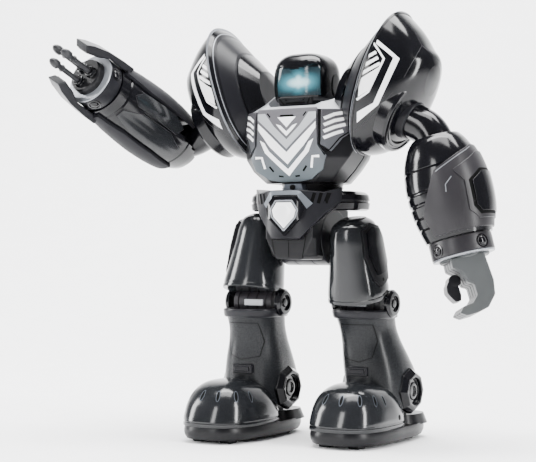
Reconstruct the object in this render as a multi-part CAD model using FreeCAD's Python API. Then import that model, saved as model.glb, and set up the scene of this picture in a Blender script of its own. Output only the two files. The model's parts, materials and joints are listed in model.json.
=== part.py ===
"""Walking toy robot, 312 mm tall, as an assembly of separate sub-parts.

Frame: millimetres, +Z up, the robot faces -Y and its own left is +X.  The origin is on the floor,
midway between the hips.  Each builder returns shapes for the robot's left side in a neutral stance;
the right side is the mirror image, and pose functions carry both to the stance that is stored:
left leg back, right leg forward, left arm hanging, right arm raised and aiming.
"""

import FreeCAD
import Part
import math
import os

from FreeCAD import Vector

# Walls and clearances
WALL = 2.0
RUNNING = 0.05          # radial clearance of a pin in its bore
SEAM = 0.3              # gap between neighbouring covers
BIG = 400.0             # larger than the robot, for cutting boxes

# Legs
LEG_SWING = 13.0        # degrees the stored stance swings each thigh from neutral
HIP = Vector(40.0, 2.0, 150.0)
KNEE = Vector(40.0, 2.0, 101.0)   # of the shin, before its fore-and-aft shift
THIGH_KNEE = Vector(40.0, 2.0, 150.0 - 49.0 / math.cos(math.radians(LEG_SWING)))
ANKLE = Vector(46.2, 17.0, 36.0)
FOOT_X = 47.0
FOOT_Y = -7.0
HIP_PIN_R = 4.0
KNEE_PIN_R = 2.5
ANKLE_PIN_R = 3.0
KNEE_EAR = (17.3, 20.1)  # inner and outer face of a thigh ear, from the knee's middle
KNEE_CAP_R = 10.5
WHEEL_R = 6.0
WHEEL_Y = 24.0
WHEEL_X = 17.0          # from the foot's middle
SOLE_Z = (3.0, 12.0)

# Trunk
NECK = Vector(0.0, -4.0, 243.0)
HEAD_CLEAR_R = 29.0
WAIST_R = 20.0
WAIST_Z = (184.0, 189.6)
CHEST_SKIN = 3.0        # thickness of the printed chest panels

# Shoulder cowls
COWL = Vector(62.0, 0.0, 262.0)   # middle of the seam between inner and outer cowl
COWL_TILT = 18.0

# Arms
SHOULDER = Vector(80.0, -5.0, 237.5)
SHOULDER_DROP = 27.0    # degrees the shoulder axis points below level
ELBOW_BEND = 48.0       # built-in bend of the upper arm tube
TUBE_R = 13.0
ELBOW_PIN_R = 2.5
TUBE_LEAD = 17.0        # straight tube before the bend
TUBE_BEND_R = 22.0
TUBE_TAIL = 5.0         # straight tube after the bend
ELBOW_BALL_R = 13.5
SOCKET_R = 19.4
ARM_SHAFT_R = 5.0
ARM_RAISE = 114.0       # stored turn of the right shoulder, forward and up
ARM_FLEX = 48.0         # stored flexion of the right elbow
CUFF_W = (64.3, 78.0)   # along the forearm, from the elbow
CUFF_R = 22.5
FOREARM_FLEX_MAX = 20.0  # elbow travel that the left forearm leaves room for
BLASTER_FLEX_MAX = 58.0  # and the launcher forearm, from straight
HAND_TURN = -35.0       # degrees that the hand's grip is turned about the forearm
BLASTER_AHEAD = 24.0    # how much longer the launcher forearm is than the other one
BLASTER_CUFF_R = 19.5
RAIL_TURN = 145.0       # degrees that the launcher's rails are turned about the forearm
DART_TURN = 20.0        # the same for the first dart
BARREL_W = (56.0, 84.0)
BARREL_R = 12.5
DART_RING_R = 6.5
DART_SHAFT_R = 2.0
DART_TIP_R = 3.3
DART_W = (108.0, 117.0)   # start of the soft tip, point

X_AXIS = Vector(1, 0, 0)
Y_AXIS = Vector(0, 1, 0)
Z_AXIS = Vector(0, 0, 1)


# ---------------------------------------------------------------- basic solids

def box(low, high):
    """A box between two corners."""
    return Part.makeBox(high[0] - low[0], high[1] - low[1], high[2] - low[2], Vector(*low))


def rod(start, end, radius):
    """A cylinder from one point to another."""
    along = end - start
    return Part.makeCylinder(radius, along.Length, start, along)


def rod_x(middle, low, high, radius):
    """A cylinder along X through a point, from low to high measured from that point."""
    return rod(middle + X_AXIS * low, middle + X_AXIS * high, radius)


def ring_outline(place, a, b, power, count=24, start=0.0):
    """A closed superellipse with half-axes a and b; place turns flat (x, y) into a point.

    The seam is start steps round from the x axis.
    """
    points = []
    for i in range(count):
        angle = 2 * math.pi * (i + start) / count
        c, s = math.cos(angle), math.sin(angle)
        x = a * math.copysign(abs(c) ** (2 / power), c)
        y = b * math.copysign(abs(s) ** (2 / power), s)
        points.append(place(x, y))
    curve = Part.BSplineCurve()
    curve.interpolate(points, PeriodicFlag=True)
    return Part.Wire([curve.toShape()])


def column(levels, grow=0.0, power=2.6, start=0.0):
    """A smooth solid through level ovals, each (z, centre x, centre y, half x, half y)."""
    rings = []
    for z, cx, cy, a, b in levels:
        def place(x, y, cx=cx, cy=cy, z=z):
            return Vector(cx + x, cy + y, z)
        rings.append(ring_outline(place, a + grow, b + grow, power, start=start))
    return Part.makeLoft(rings, True, False)


def polygon(points):
    """A closed wire through points."""
    return Part.makePolygon(points + [points[0]])


def prism_y(outline, near, far):
    """A front-view outline of (x, z) points, extruded from y near to y far."""
    face = Part.Face(polygon([Vector(x, near, z) for x, z in outline]))
    return face.extrude(Vector(0, far - near, 0))


def prism_z(outline, low, high):
    """A plan outline of (x, y) points, extruded from z low to z high."""
    face = Part.Face(polygon([Vector(x, y, low) for x, y in outline]))
    return face.extrude(Vector(0, 0, high - low))


def prism_x(outline, low, high):
    """A side-view outline of (y, z) points, extruded from x low to x high."""
    face = Part.Face(polygon([Vector(low, y, z) for y, z in outline]))
    return face.extrude(Vector(high - low, 0, 0))


def both_sides(half):
    """A right-half outline, listed from top to bottom, closed with its mirror image."""
    return half + [(-x, z) for x, z in reversed(half) if x > 0]


def squeezed(shape, about, factors):
    """The shape scaled about a point by a factor for each axis."""
    matrix = FreeCAD.Matrix()
    matrix.move(about * -1)
    matrix.scale(Vector(*factors))
    matrix.move(about)
    return shape.transformGeometry(matrix)


def mirrored(shape):
    """The mirror image across the robot's middle plane."""
    return shape.mirror(Vector(0, 0, 0), X_AXIS)


def joined(*shapes):
    """Separate solids as one node."""
    return Part.makeCompound([solid for shape in shapes for solid in shape.Solids])


def fused(first, *others):
    """Overlapping shapes as one solid."""
    return first.fuse(list(others)).removeSplitter()


def largest(shape):
    """The largest solid of a shape, which leaves trimmed-off scraps behind."""
    return max(shape.Solids, key=lambda solid: solid.Volume)


# ---------------------------------------------------------------- pelvis

def pelvis_shells(guard):
    """Front and rear halves of the pelvis, with the hip drum, the hip tray and a hollow middle."""
    core = box((-20, -26, 136), (20, 24, 171))
    drum = rod_x(Vector(0, HIP.y, HIP.z), -20, 20, 21)
    tray = column([(169.5, 0, 0, 44, 20), (175, 0, 0, 47, 21), (181, 0, 0, 46, 21), (184, 0, 0, 40, 19)],
                  power=3.2)
    apron = prism_y(both_sides([(25, 172), (22, 150), (11, 134)]), -31.5, -24)
    solid = fused(core, drum, tray, apron)
    cavity = box((-16, -22, 138), (16, 20, 176))
    spigot = rod(Vector(0, 0, 170), Vector(0, 0, 190), 12.1)
    pins = rod_x(Vector(0, HIP.y, HIP.z), -21, 21, HIP_PIN_R + RUNNING)
    solid = solid.cut(cavity).cut(spigot).cut(pins).cut(guard)
    front = solid.common(box((-BIG, -BIG, 0), (BIG, HIP.y - SEAM / 2, BIG)))
    rear = solid.common(box((-BIG, HIP.y + SEAM / 2, 0), (BIG, BIG, BIG)))
    return front, rear


def belt_guard():
    """The V-shaped shield over the belt, with a raised bezel around the emblem."""
    outer = [(37, -17), (28, -27.5), (12, -36)]
    inner = [(10.5, -32), (25.5, -24), (33.5, -14.5)]
    band = prism_z(outer + [(-x, y) for x, y in reversed(outer)]
                   + [(-x, y) for x, y in reversed(inner)] + inner, 140, 190)
    silhouette = both_sides([(10, 187), (12, 184), (20, 183), (37, 186), (38, 177), (32, 171), (24, 163),
                             (13, 149), (0, 143)])
    shield = band.common(prism_y(silhouette, -60, 0))
    bezel = prism_y(both_sides([(8.5, 179), (15.5, 170), (0, 152.5)]), -38.5, -35)
    window = prism_y(both_sides([(7, 176), (11.6, 169.5), (0, 155)]), -40, -34)
    return fused(shield, bezel).cut(window)


def emblem_lens():
    """Clear diamond lens of the belt, with a smaller front facet."""
    def outline(scale, y):
        points = both_sides([(6.8, 175.7), (11.3, 169.4), (0, 155.4)])
        return polygon([Vector(x * scale, y, 167 + (z - 167) * scale) for x, z in points])
    base = Part.makeLoft([outline(1.0, -34.2), outline(1.0, -38.4)], True, True)
    crown = Part.makeLoft([outline(1.0, -38.4), outline(0.72, -40.2)], True, True)
    return fused(base, crown)


def waist_post():
    """Turntable drum between pelvis and trunk, with a spigot at each end and a front bracket."""
    middle = Vector(0, 0, 0)
    drum = rod(middle + Z_AXIS * (WAIST_Z[0] + 0.1), middle + Z_AXIS * WAIST_Z[1], WAIST_R)
    lower = rod(Vector(0, 0, 176.2), Vector(0, 0, 186), 12.0)
    upper = rod(Vector(0, 0, 188), Vector(0, 0, 197), 12.0)
    bracket = box((-6, -25, WAIST_Z[0] + 0.1), (6, -17, WAIST_Z[1]))
    return fused(drum, lower, upper, bracket)


def hip_pins():
    """One shouldered pin for each hip."""
    middle = Vector(0, HIP.y, HIP.z)
    pin = rod_x(middle, 10, 36.2, HIP_PIN_R)
    head = rod_x(middle, 36.2, 38.4, 6.5)
    left = fused(pin, head)
    return joined(left, mirrored(left))


# ---------------------------------------------------------------- trunk

def trunk_ring(z, front_x, front_y, side_x, grow):
    """Ten-cornered plan outline of the trunk at one height, larger all round by grow."""
    half = [
        (front_x + 0.3 * grow, front_y - grow),
        (side_x + 0.8 * grow, front_y + 0.8 * (side_x - front_x) - 0.5 * grow),
        (side_x + 1.5 + grow, 6),
        (side_x - 5 + grow, 22 + grow),
        (front_x + 0.5 * grow, 29 + grow),
    ]
    return polygon([Vector(x, y, z) for x, y in half] + [Vector(-x, y, z) for x, y in reversed(half)])


TRUNK_LEVELS = [
    (243, 26, -31.5, 47), (216, 27, -32, 47), (208, 30, -31, 44), (199, 27, -29, 37), (190, 18, -25, 28),
]


def trunk_solid(grow=0.0):
    """The trunk as a faceted solid from waist to collar."""
    return Part.makeLoft([trunk_ring(z, fx, fy, sx, grow) for z, fx, fy, sx in TRUNK_LEVELS], True, True)


def chest_skin(outline):
    """A printed panel: the layer over the trunk, inside a front-view outline."""
    layer = trunk_solid(CHEST_SKIN).cut(trunk_solid(0.05))
    return layer.common(prism_y(outline, -60, 0))


def chest_panel():
    """Central chest plate, from collar to belly."""
    half = [(25.2, 242.5), (26, 216.5), (31, 209), (28, 199.5), (18.5, 193), (8, 191)]
    return chest_skin(both_sides(half))


def chest_wings():
    """Swept panels either side of the chest plate."""
    right_hand = [(26.6, 242.5), (46.5, 242.5), (46.5, 226), (39, 221), (33, 211), (27, 216)]
    left = chest_skin(right_hand)
    return joined(left, mirrored(left))


def trunk_shells():
    """Front and rear trunk covers, hollow, with the waist bore and the battery and switch openings."""
    solid = trunk_solid()
    cavity = squeezed(solid, Vector(0, 0, 216), (0.93, 0.91, 0.91))
    shell = solid.cut(cavity)
    shell = shell.cut(rod(Vector(0, 0, 185), Vector(0, 0, 201), 12.4))
    shell = shell.cut(rod(NECK - Z_AXIS * 6, NECK + Z_AXIS, 12.4))
    door = box((-23.2, 20, 203.8), (23.2, 40, 232.2))
    slot = box((-6.2, 20, 235.3), (6.2, 40, 239.7))
    for place in screw_places():
        shell = shell.cut(rod(place, place - Y_AXIS * 12, 1.3))
    shell = shell.cut(door).cut(slot)
    front = shell.common(box((-BIG, -BIG, 0), (BIG, -SEAM / 2, BIG)))
    rear = shell.common(box((-BIG, SEAM / 2, 0), (BIG, BIG, BIG)))
    return front, rear


def battery_door():
    """Rear hatch with a latch lip."""
    plate = trunk_solid().common(box((-23, 27.2, 204), (23, 40, 232)))
    grip = box((-8, 28.6, 229), (8, 30.6, 231))
    return fused(plate, grip)


def battery_cells():
    """Four AA cells lying across the trunk."""
    cells = [rod_x(Vector(0, y, z), -25, 25, 7.1) for y in (17.4, 2.9) for z in (212, 226.4)]
    return joined(*cells)


def circuit_board():
    """Main board behind the chest, with three components."""
    board = box((-30, -14, 205), (30, -12.4, 236.5))
    chips = [box((x, -15.8, z), (x + w, -14, z + h)) for x, z, w, h in
             ((-22, 212, 14, 10), (2, 226, 9, 6), (14, 210, 8, 12))]
    return fused(board, *chips)


def speaker():
    """Round loudspeaker behind the chest plate."""
    centre = Vector(0, -27.5, 222)
    frame = rod(centre, centre + Y_AXIS * 3, 14)
    magnet = rod(centre + Y_AXIS * 3, centre + Y_AXIS * 8, 7)
    return fused(frame, magnet)


def screw_places():
    """Where the rear cover's screws enter, on its outer face."""
    return [Vector(x, 29.1, z) for x in (-25.4, 25.4) for z in (236, 212)]


def case_screws():
    """Pan-head screws of the rear trunk cover."""
    screws = []
    for place in screw_places():
        head = rod(place - Y_AXIS * 0.05, place + Y_AXIS * 1.5, 2.1)
        shank = rod(place, place - Y_AXIS * 4, 1.2)
        screws.append(fused(head, shank))
    return joined(*screws)


def power_switch():
    """Sliding switch knob in the rear cover."""
    knob = box((-6, 29.4, 235.6), (-1.6, 32.4, 239.4))
    stem = box((-5.4, 25.5, 236), (-2.2, 29.5, 239))
    return fused(knob, stem)


def neck_collar():
    """Bright collar on the trunk: low in front, rising beside the head, bored for the neck."""
    base = trunk_ring(243.1, 26, -31.5, 47, 0.0)
    top = trunk_ring(257, 18, -10, 39, 0.0)
    solid = Part.makeLoft([base, top], True, True)
    bowl = rod(NECK + Z_AXIS * 3.6, NECK + Z_AXIS * 30, HEAD_CLEAR_R)
    return solid.cut(bowl).cut(rod(NECK - Z_AXIS, NECK + Z_AXIS * 10, 12.4))


# ---------------------------------------------------------------- head

HEAD_LEVELS = [
    (250.5, 0, -4.5, 19.6, 17.6), (255, 0, -4.2, 21.6, 19.6), (265, 0, -4, 22.2, 20.4),
    (275, 0, -4, 21.6, 19.8),
    (281.5, 0, -4, 18.8, 17.3), (285.8, 0, -4, 13, 12.5), (287.4, 0, -4, 5, 5),
]
VISOR_BACK_Y = -9.0
VISOR_BASE_Z = 253.5


def head_solid(grow=0.0):
    """The outside of the head, or a smaller core of it."""
    solid = column(HEAD_LEVELS, power=3.6)
    if not grow:
        return solid
    return squeezed(solid, Vector(0, -4, 268), (1 + grow / 20, 1 + grow / 20, 1 + grow / 18))


def visor_region(margin):
    """The part of the head that the visor takes: front, and forward half of the crown."""
    return prism_x([(-60, VISOR_BASE_Z + margin), (-18, VISOR_BASE_Z + margin),
                    (VISOR_BACK_Y - margin, 262), (VISOR_BACK_Y - margin, 300), (-60, 300)], -40, 40)


def helmet_shell():
    """Rear and lower half of the head, with the chin, hollow."""
    shell = head_solid().cut(head_solid(-WALL))
    chin = prism_x([(-23.5, 247.5), (6, 247.5), (6, 252), (-21.5, 252)], -14, 14).cut(head_solid(-WALL))
    return fused(shell.cut(visor_region(0)), chin.cut(visor_region(0)))


def visor():
    """Clear visor."""
    return head_solid().cut(head_solid(-1.6)).common(visor_region(SEAM))


def eye_panel():
    """Light panel behind the visor with two eye reflectors."""
    plate = box((-15, -14, 257), (15, -12, 276))
    eyes = [rod(Vector(x, -14, 267), Vector(x, -17, 267), 5) for x in (-7.5, 7.5)]
    return fused(plate, *eyes)


def neck_post():
    """Neck spindle with a flange under the head."""
    spindle = rod(NECK - Z_AXIS * 5.5, NECK + Z_AXIS * 4.5, 12.2)
    flange = rod(NECK + Z_AXIS * 3.8, NECK + Z_AXIS * 4.5, 17)
    return fused(spindle, flange)


# ---------------------------------------------------------------- shoulder cowls

COWL_OUTER = [(0.15, -0.5, 38, 53.5), (8, -1.5, 37, 50.5), (17, -1.3, 34, 44.8), (27, 0.5, 29, 34.5),
              (34, 8, 20, 22), (37.5, 12, 10, 11)]
COWL_INNER = [(-27, -13, 16, 19), (-20, -9, 22, 27), (-13, -6, 28, 36), (-6, -2.5, 33, 45),
              (-0.15, -0.5, 36.5, 52)]


def cowl_axes():
    """Outward normal and upward direction of the cowl's seam plane."""
    tilt = math.radians(COWL_TILT)
    return Vector(math.cos(tilt), 0, -math.sin(tilt)), Vector(math.sin(tilt), 0, math.cos(tilt))


def cowl_solid(levels, grow=0.0):
    """A cowl half through ovals, each (outward, upward shift, half depth, half height)."""
    out, up = cowl_axes()
    rings = []
    for u, v, a, b in levels:
        def place(x, y, u=u, v=v):
            return COWL + out * u + up * (v + y) + Y_AXIS * x
        rings.append(ring_outline(place, a + grow, b + grow, 2.25))
    return Part.makeLoft(rings, True, False)


def shoulder_axis():
    """Direction of the left shoulder's axis, pointing out of the body."""
    drop = math.radians(SHOULDER_DROP)
    return Vector(math.cos(drop), 0, -math.sin(drop))


def cowl_outer():
    """Outer cowl: a hollow dome with the round socket for the arm."""
    inside = [(u - 0.3 if u < 1 else u - WALL, v, a - WALL, b - WALL) for u, v, a, b in COWL_OUTER]
    shell = cowl_solid(COWL_OUTER).cut(cowl_solid(inside))
    axis = shoulder_axis()
    return shell.cut(rod(SHOULDER - axis * 14, SHOULDER + axis * 40, SOCKET_R + SEAM))


def cowl_inner(trunk):
    """Inner cowl: a hollow cone towards the neck, with the boss that carries the arm."""
    inside = [(u + WALL if u < -1 else u + 0.3, v, a - WALL, b - WALL) for u, v, a, b in COWL_INNER]
    shell = cowl_solid(COWL_INNER).cut(cowl_solid(inside))
    axis = shoulder_axis()
    boss = rod(SHOULDER - axis * 12, SHOULDER - axis * 42, 8).common(
        fused(cowl_solid(COWL_INNER), cowl_solid(COWL_OUTER, -WALL)))
    solid = fused(shell, boss).cut(trunk)
    return largest(solid.cut(rod(SHOULDER, SHOULDER - axis * 34, ARM_SHAFT_R + RUNNING)))


# ---------------------------------------------------------------- arms

def forearm_direction():
    """Direction of the left forearm at no flexion."""
    angle = math.radians(SHOULDER_DROP + ELBOW_BEND)
    return Vector(math.cos(angle), 0, -math.sin(angle))


def elbow_point():
    """Middle of the left elbow."""
    out, along = shoulder_axis(), forearm_direction()
    drop = math.radians(SHOULDER_DROP)
    down = Vector(-math.sin(drop), 0, -math.cos(drop))
    bend = math.radians(ELBOW_BEND)
    end = SHOULDER + out * (TUBE_LEAD + TUBE_BEND_R * math.sin(bend))
    end = end + down * TUBE_BEND_R * (1 - math.cos(bend))
    return end + along * TUBE_TAIL


def arm_tube(radius):
    """The bent tube from the shoulder disc to the elbow."""
    out, along = shoulder_axis(), forearm_direction()
    drop, bend = math.radians(SHOULDER_DROP), math.radians(ELBOW_BEND)
    down = Vector(-math.sin(drop), 0, -math.cos(drop))
    elbow = elbow_point()
    start = SHOULDER + out * TUBE_LEAD
    end = elbow - along * TUBE_TAIL
    centre = start + down * TUBE_BEND_R
    middle = centre + (out * math.sin(bend / 2) - down * math.cos(bend / 2)) * TUBE_BEND_R
    path = Part.Wire([Part.LineSegment(SHOULDER + out * 2, start).toShape(),
                      Part.Arc(start, middle, end).toShape(),
                      Part.LineSegment(end, elbow).toShape()])
    profile = Part.Wire([Part.Circle(SHOULDER + out * 2, out, radius).toShape()])
    return path.makePipeShell([profile], True, False)


def upper_arm():
    """Shoulder shaft, socket disc and bent tube, ending in the elbow ball with its bore."""
    out = shoulder_axis()
    elbow = elbow_point()
    shaft = rod(SHOULDER - out * 33, SHOULDER, ARM_SHAFT_R)
    disc = rod(SHOULDER - out * 4, SHOULDER + out * 2.5, SOCKET_R - 1.4)
    sleeve = Part.makeCone(15.8, 13.6, 7, SHOULDER + out * 2.5, out)
    ball = Part.makeSphere(ELBOW_BALL_R, elbow)
    arm = fused(arm_tube(TUBE_R), shaft, disc, sleeve, ball)
    return arm.cut(rod(elbow - Y_AXIS * 20, elbow + Y_AXIS * 20, ELBOW_PIN_R + RUNNING))


FOREARM_LEVELS = [(-9, 17.5, 17.5), (-4, 21, 21), (6, 25.5, 25), (18, 28, 27.5), (30, 28.8, 28), (44, 28, 27),
                  (56, 25.5, 25), (64, 23.3, 23)]


def forearm_tilt():
    """Degrees that turn the forearm's own frame, with Z along the forearm, to the hanging arm."""
    return 180 - math.degrees(math.acos(-forearm_direction().z))


def forearm_place(shape):
    """Carries a forearm part from its own frame to the left elbow."""
    placed = shape.copy()
    placed.rotate(Vector(0, 0, 0), Y_AXIS, forearm_tilt())
    placed.translate(elbow_point())
    return placed


BLASTER_LEVELS = [(-12, 16.8, 16.8), (-5, 19.5, 19.5), (8, 22.3, 22.3), (25, 23.6, 23.6), (41, 23.8, 23.8),
                  (60, 22.8, 22.8), (77, 21.2, 21.2), (88, 20, 20)]


def forearm_column(levels, grow=0.0, inset=0.0):
    """A forearm's barrel in its own frame, as rounds at stations along it; inset shortens both ends."""
    barrel = column([(w, 0, 0, a + grow, b + grow) for w, a, b in levels], power=2.2)
    return barrel.common(box((-BIG, -BIG, levels[0][0] + inset), (BIG, BIG, levels[-1][0] - inset)))


def clear_of_arm(shape, flexion):
    """A forearm part, cut clear of the upper arm over the elbow's travel up to flexion degrees."""
    tube = arm_tube(TUBE_R + 0.6)
    tube.translate(elbow_point() * -1)
    steps = max(2, int(flexion // 8))
    cleared = shape.cut(Part.makeSphere(ELBOW_BALL_R + 0.4, Vector(0, 0, 0)))
    for step in range(steps + 1):
        turned = tube.copy()
        turned.rotate(Vector(0, 0, 0), Y_AXIS, -forearm_tilt() - flexion * step / steps)
        cleared = cleared.cut(turned)
    return cleared


def forearm_shell(levels, flexion):
    """A forearm's hollow barrel, with the elbow slot, the elbow pin and the wrist bore."""
    end = levels[-1][0]
    shell = forearm_column(levels).cut(forearm_column(levels, -WALL, WALL))
    cheeks = fused(rod(Vector(0, 13.8, 0), Vector(0, 26, 0), 6),
                   rod(Vector(0, -26, 0), Vector(0, -13.8, 0), 6))
    cheeks = cheeks.common(forearm_column(levels, -0.5))
    shell = largest(clear_of_arm(fused(shell, cheeks), flexion))
    shell = shell.cut(rod(Z_AXIS * (end - 14), Z_AXIS * (end + 16), 12))
    return fused(shell, rod(Vector(0, -18, 0), Vector(0, 18, 0), ELBOW_PIN_R))


def wrist_cuff(radius):
    """Cuff ring with four studs."""
    low, high = CUFF_W
    ring = rod(Z_AXIS * low, Z_AXIS * high, radius)
    ring = ring.cut(rod(Z_AXIS * (low - 1), Z_AXIS * (high + 1), radius - 2.6))
    web = rod(Z_AXIS * low, Z_AXIS * (low + 2), radius - 1)
    hub = web.cut(rod(Z_AXIS * (low - 1), Z_AXIS * (low + 3), 8))
    studs = []
    middle = Z_AXIS * (low + high) / 2
    for turn in range(4):
        angle = math.radians(90 * turn)
        out = Vector(math.cos(angle), math.sin(angle), 0)
        studs.append(rod(middle + out * (radius - 1.5), middle + out * (radius + 1.4), 3.6))
    return fused(ring, hub, *studs)


def forearm_armour():
    """Outer half cover of the left forearm, standing proud of the barrel."""
    layer = forearm_column(FOREARM_LEVELS, 2.2, 2.5).cut(forearm_column(FOREARM_LEVELS, 0.15))
    region = prism_y([(-40, -4), (2, -4), (2, 14), (10, 24), (10, 62), (-40, 62)], -40, 40)
    region.rotate(Vector(0, 0, 0), Z_AXIS, 25)
    return largest(layer.common(region))


def palm():
    """Palm and curled fingers of the left hand, with the wrist spindle."""
    start = CUFF_W[1] + 0.6
    outline = [(13, start), (-11, start), (-13, start + 20), (-11, 110), (-5, 117), (11, 119.5),
               (15.5, 116.5), (12, 112.5), (5, 111.5), (0.5, 107), (1, 99), (5, 97), (6.2, 91), (9, 88), (13, 85)]
    hand = prism_y(outline, -17, 17)
    gaps = [box((3, y - 0.5, 100), (20, y + 0.5, 125)) for y in (-8.5, 0, 8.5)]
    hand = hand.cut(Part.makeCompound(gaps))
    spindle = rod(Z_AXIS * (CUFF_W[0] + 2.3), Z_AXIS * (start + 1), 18)
    neck = rod(Z_AXIS * (CUFF_W[0] - 4), Z_AXIS * (CUFF_W[0] + 3), 7.6)
    stop = rod(Z_AXIS * (CUFF_W[0] - 6), Z_AXIS * (CUFF_W[0] - 1.0), 11)
    knuckle_room = rod(THUMB_PIVOT - Y_AXIS * 8, THUMB_PIVOT + Y_AXIS * 8, 4.9)
    hand = fused(hand, spindle, neck, stop).cut(knuckle_room)
    hand.rotate(Vector(0, 0, 0), Z_AXIS, HAND_TURN)
    return hand


THUMB_PIVOT = Vector(12, 0, 93.5)


def thumb():
    """Thumb, hinged at the palm."""
    knuckle = rod(THUMB_PIVOT - Y_AXIS * 7.5, THUMB_PIVOT + Y_AXIS * 7.5, 4.5)
    digit = prism_y([(16, 91.5), (19, 100), (14.5, 108), (10.5, 108), (9.6, 104), (10, 97)], -7.5, 7.5)
    digit = fused(knuckle, digit)
    digit.rotate(Vector(0, 0, 0), Z_AXIS, HAND_TURN)
    return digit


def blaster_rails():
    """Two long side rails that run past the cuff as fork prongs."""
    inside = forearm_column(BLASTER_LEVELS, 0.15)
    layer = forearm_column(BLASTER_LEVELS, 3.0, 3.0).cut(inside)
    outline = [(19, 80), (23.4, 80), (22.8, 90), (21.5, 112), (17.5, 128), (13.5, 123), (17.5, 108),
               (19.9, 100), (19.9, 86)]
    rails = []
    for turn in (RAIL_TURN, RAIL_TURN + 180):
        region = box((8, -7.5, -9), (40, 7.5, 85))
        prong = prism_y(outline, -7, 7)
        region.rotate(Vector(0, 0, 0), Z_AXIS, turn)
        prong.rotate(Vector(0, 0, 0), Z_AXIS, turn)
        rail = fused(layer.common(region), prong.cut(inside))
        rail = rail.cut(rod(Z_AXIS * 88.1, Z_AXIS * 112, BLASTER_CUFF_R + 0.2))
        rails.append(largest(clear_of_arm(rail, BLASTER_FLEX_MAX)))
    return joined(*rails)


def dart_offsets():
    """Centres of the three barrels around the forearm's axis."""
    angles = [math.radians(DART_TURN + 120 * i) for i in range(3)]
    return [Vector(DART_RING_R * math.cos(a), DART_RING_R * math.sin(a), 0) for a in angles]


def blaster_barrel():
    """Launcher block with one bore for each dart."""
    low, high = BARREL_W
    start = CUFF_W[0]
    stem = rod(Z_AXIS * low, Z_AXIS * (start + 3), 7.8)
    block = rod(Z_AXIS * (start + 2.1), Z_AXIS * high, BARREL_R)
    flange = rod(Z_AXIS * (start + 2.1), Z_AXIS * (start + 5), BLASTER_CUFF_R - 2.7)
    barrel = fused(stem, block, flange)
    for offset in dart_offsets():
        barrel = barrel.cut(rod(offset + Z_AXIS * (start + 2.5), offset + Z_AXIS * (high + 1),
                                DART_SHAFT_R + 0.3))
    return barrel


def dart(offset):
    """One dart: a shaft with a collar and a rounded soft tip."""
    start = CUFF_W[0] + 3
    shaft = rod(offset + Z_AXIS * start, offset + Z_AXIS * (DART_W[0] + 2), DART_SHAFT_R)
    tip = rod(offset + Z_AXIS * DART_W[0], offset + Z_AXIS * (DART_W[1] - 3), DART_TIP_R)
    nose = Part.makeCone(DART_TIP_R, 1.4, 3, offset + Z_AXIS * (DART_W[1] - 3), Z_AXIS)
    return fused(shaft, tip, nose)


# ---------------------------------------------------------------- legs

THIGH_LEVELS = [
    (106, 40, -7, 21.5, 23), (114, 40, -6.5, 21, 22.5), (128, 40, -5.5, 19, 21.5),
    (142, 40, -4.5, 17.5, 20.5),
    (154, 40, -4, 16.5, 19), (161, 40, -4, 14, 16.5), (165, 40, -4, 9, 11),
]
SHIN_LEVELS = [
    (96.5, 40.5, -1, 21.5, 22.5), (90, 40.9, 0.5, 21, 22.5), (82, 41.6, 3.5, 20.6, 22.5),
    (72, 42.7, 7, 21.2, 24),
    (60, 44.2, 11, 22.6, 27), (48, 45.6, 15, 23.6, 30), (36, 46.6, 17, 24, 31.5), (24, 47, 17.5, 24, 31),
]
FOOT_LEVELS = [
    (12.2, 47, -23, 28.4, 41.5), (20, 47, -24, 28, 39.5), (28, 47, -25, 26.4, 35.5), (35, 47, -26, 23.3, 30),
    (40, 47, -27, 19, 24), (43.5, 47, -28, 13, 16), (45, 47, -28.5, 6, 7),
]


def thigh_shell():
    """Thigh cover with knee ears, a gear pocket and the hip bore."""
    thigh = column(THIGH_LEVELS, power=2.4, start=-4.5)
    low, high = KNEE_EAR
    for near, far in ((low, high), (-high, -low)):
        disc = rod_x(THIGH_KNEE, near, far, KNEE_CAP_R - 0.3)
        strap = box((THIGH_KNEE.x + near, THIGH_KNEE.y - 8, THIGH_KNEE.z),
                    (THIGH_KNEE.x + far, THIGH_KNEE.y + 8, THIGH_KNEE.z + 12))
        thigh = thigh.fuse(fused(disc, strap))
    sleeve = rod_x(Vector(0, HIP.y, HIP.z), 21, 30, 8.5)
    thigh = thigh.fuse(sleeve).cut(rod_x(THIGH_KNEE, -low, low, 9.6))
    thigh = thigh.cut(rod_x(THIGH_KNEE, high, 40, KNEE_CAP_R + 0.4)).cut(
        rod_x(THIGH_KNEE, -40, -high, KNEE_CAP_R + 0.4))
    thigh = thigh.cut(box((28.5, -18, 90), (51.5, 8, 137)))
    thigh = thigh.cut(rod_x(Vector(0, HIP.y, HIP.z), 15, 36.1, HIP_PIN_R + RUNNING))
    thigh = thigh.cut(rod_x(Vector(0, HIP.y, HIP.z), 36.1, 38.6, 6.6))
    return largest(thigh.cut(rod_x(THIGH_KNEE, -30, 30, KNEE_PIN_R + RUNNING)))


def thigh_armour():
    """Dark armour plate on the outside of the thigh."""
    outline = [(-10, 158), (2, 163), (12, 158), (14, 132), (8, 121), (-6, 126), (-12, 140)]
    slab = prism_x(outline, 50, 64)
    hull = column(THIGH_LEVELS, grow=0.1, power=2.4)
    cover = column([(z, 41.5, y - 0.0, a + 3.6, b + 3.6) for z, _, y, a, b in THIGH_LEVELS], power=2.4)
    return slab.common(cover).cut(hull)


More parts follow.
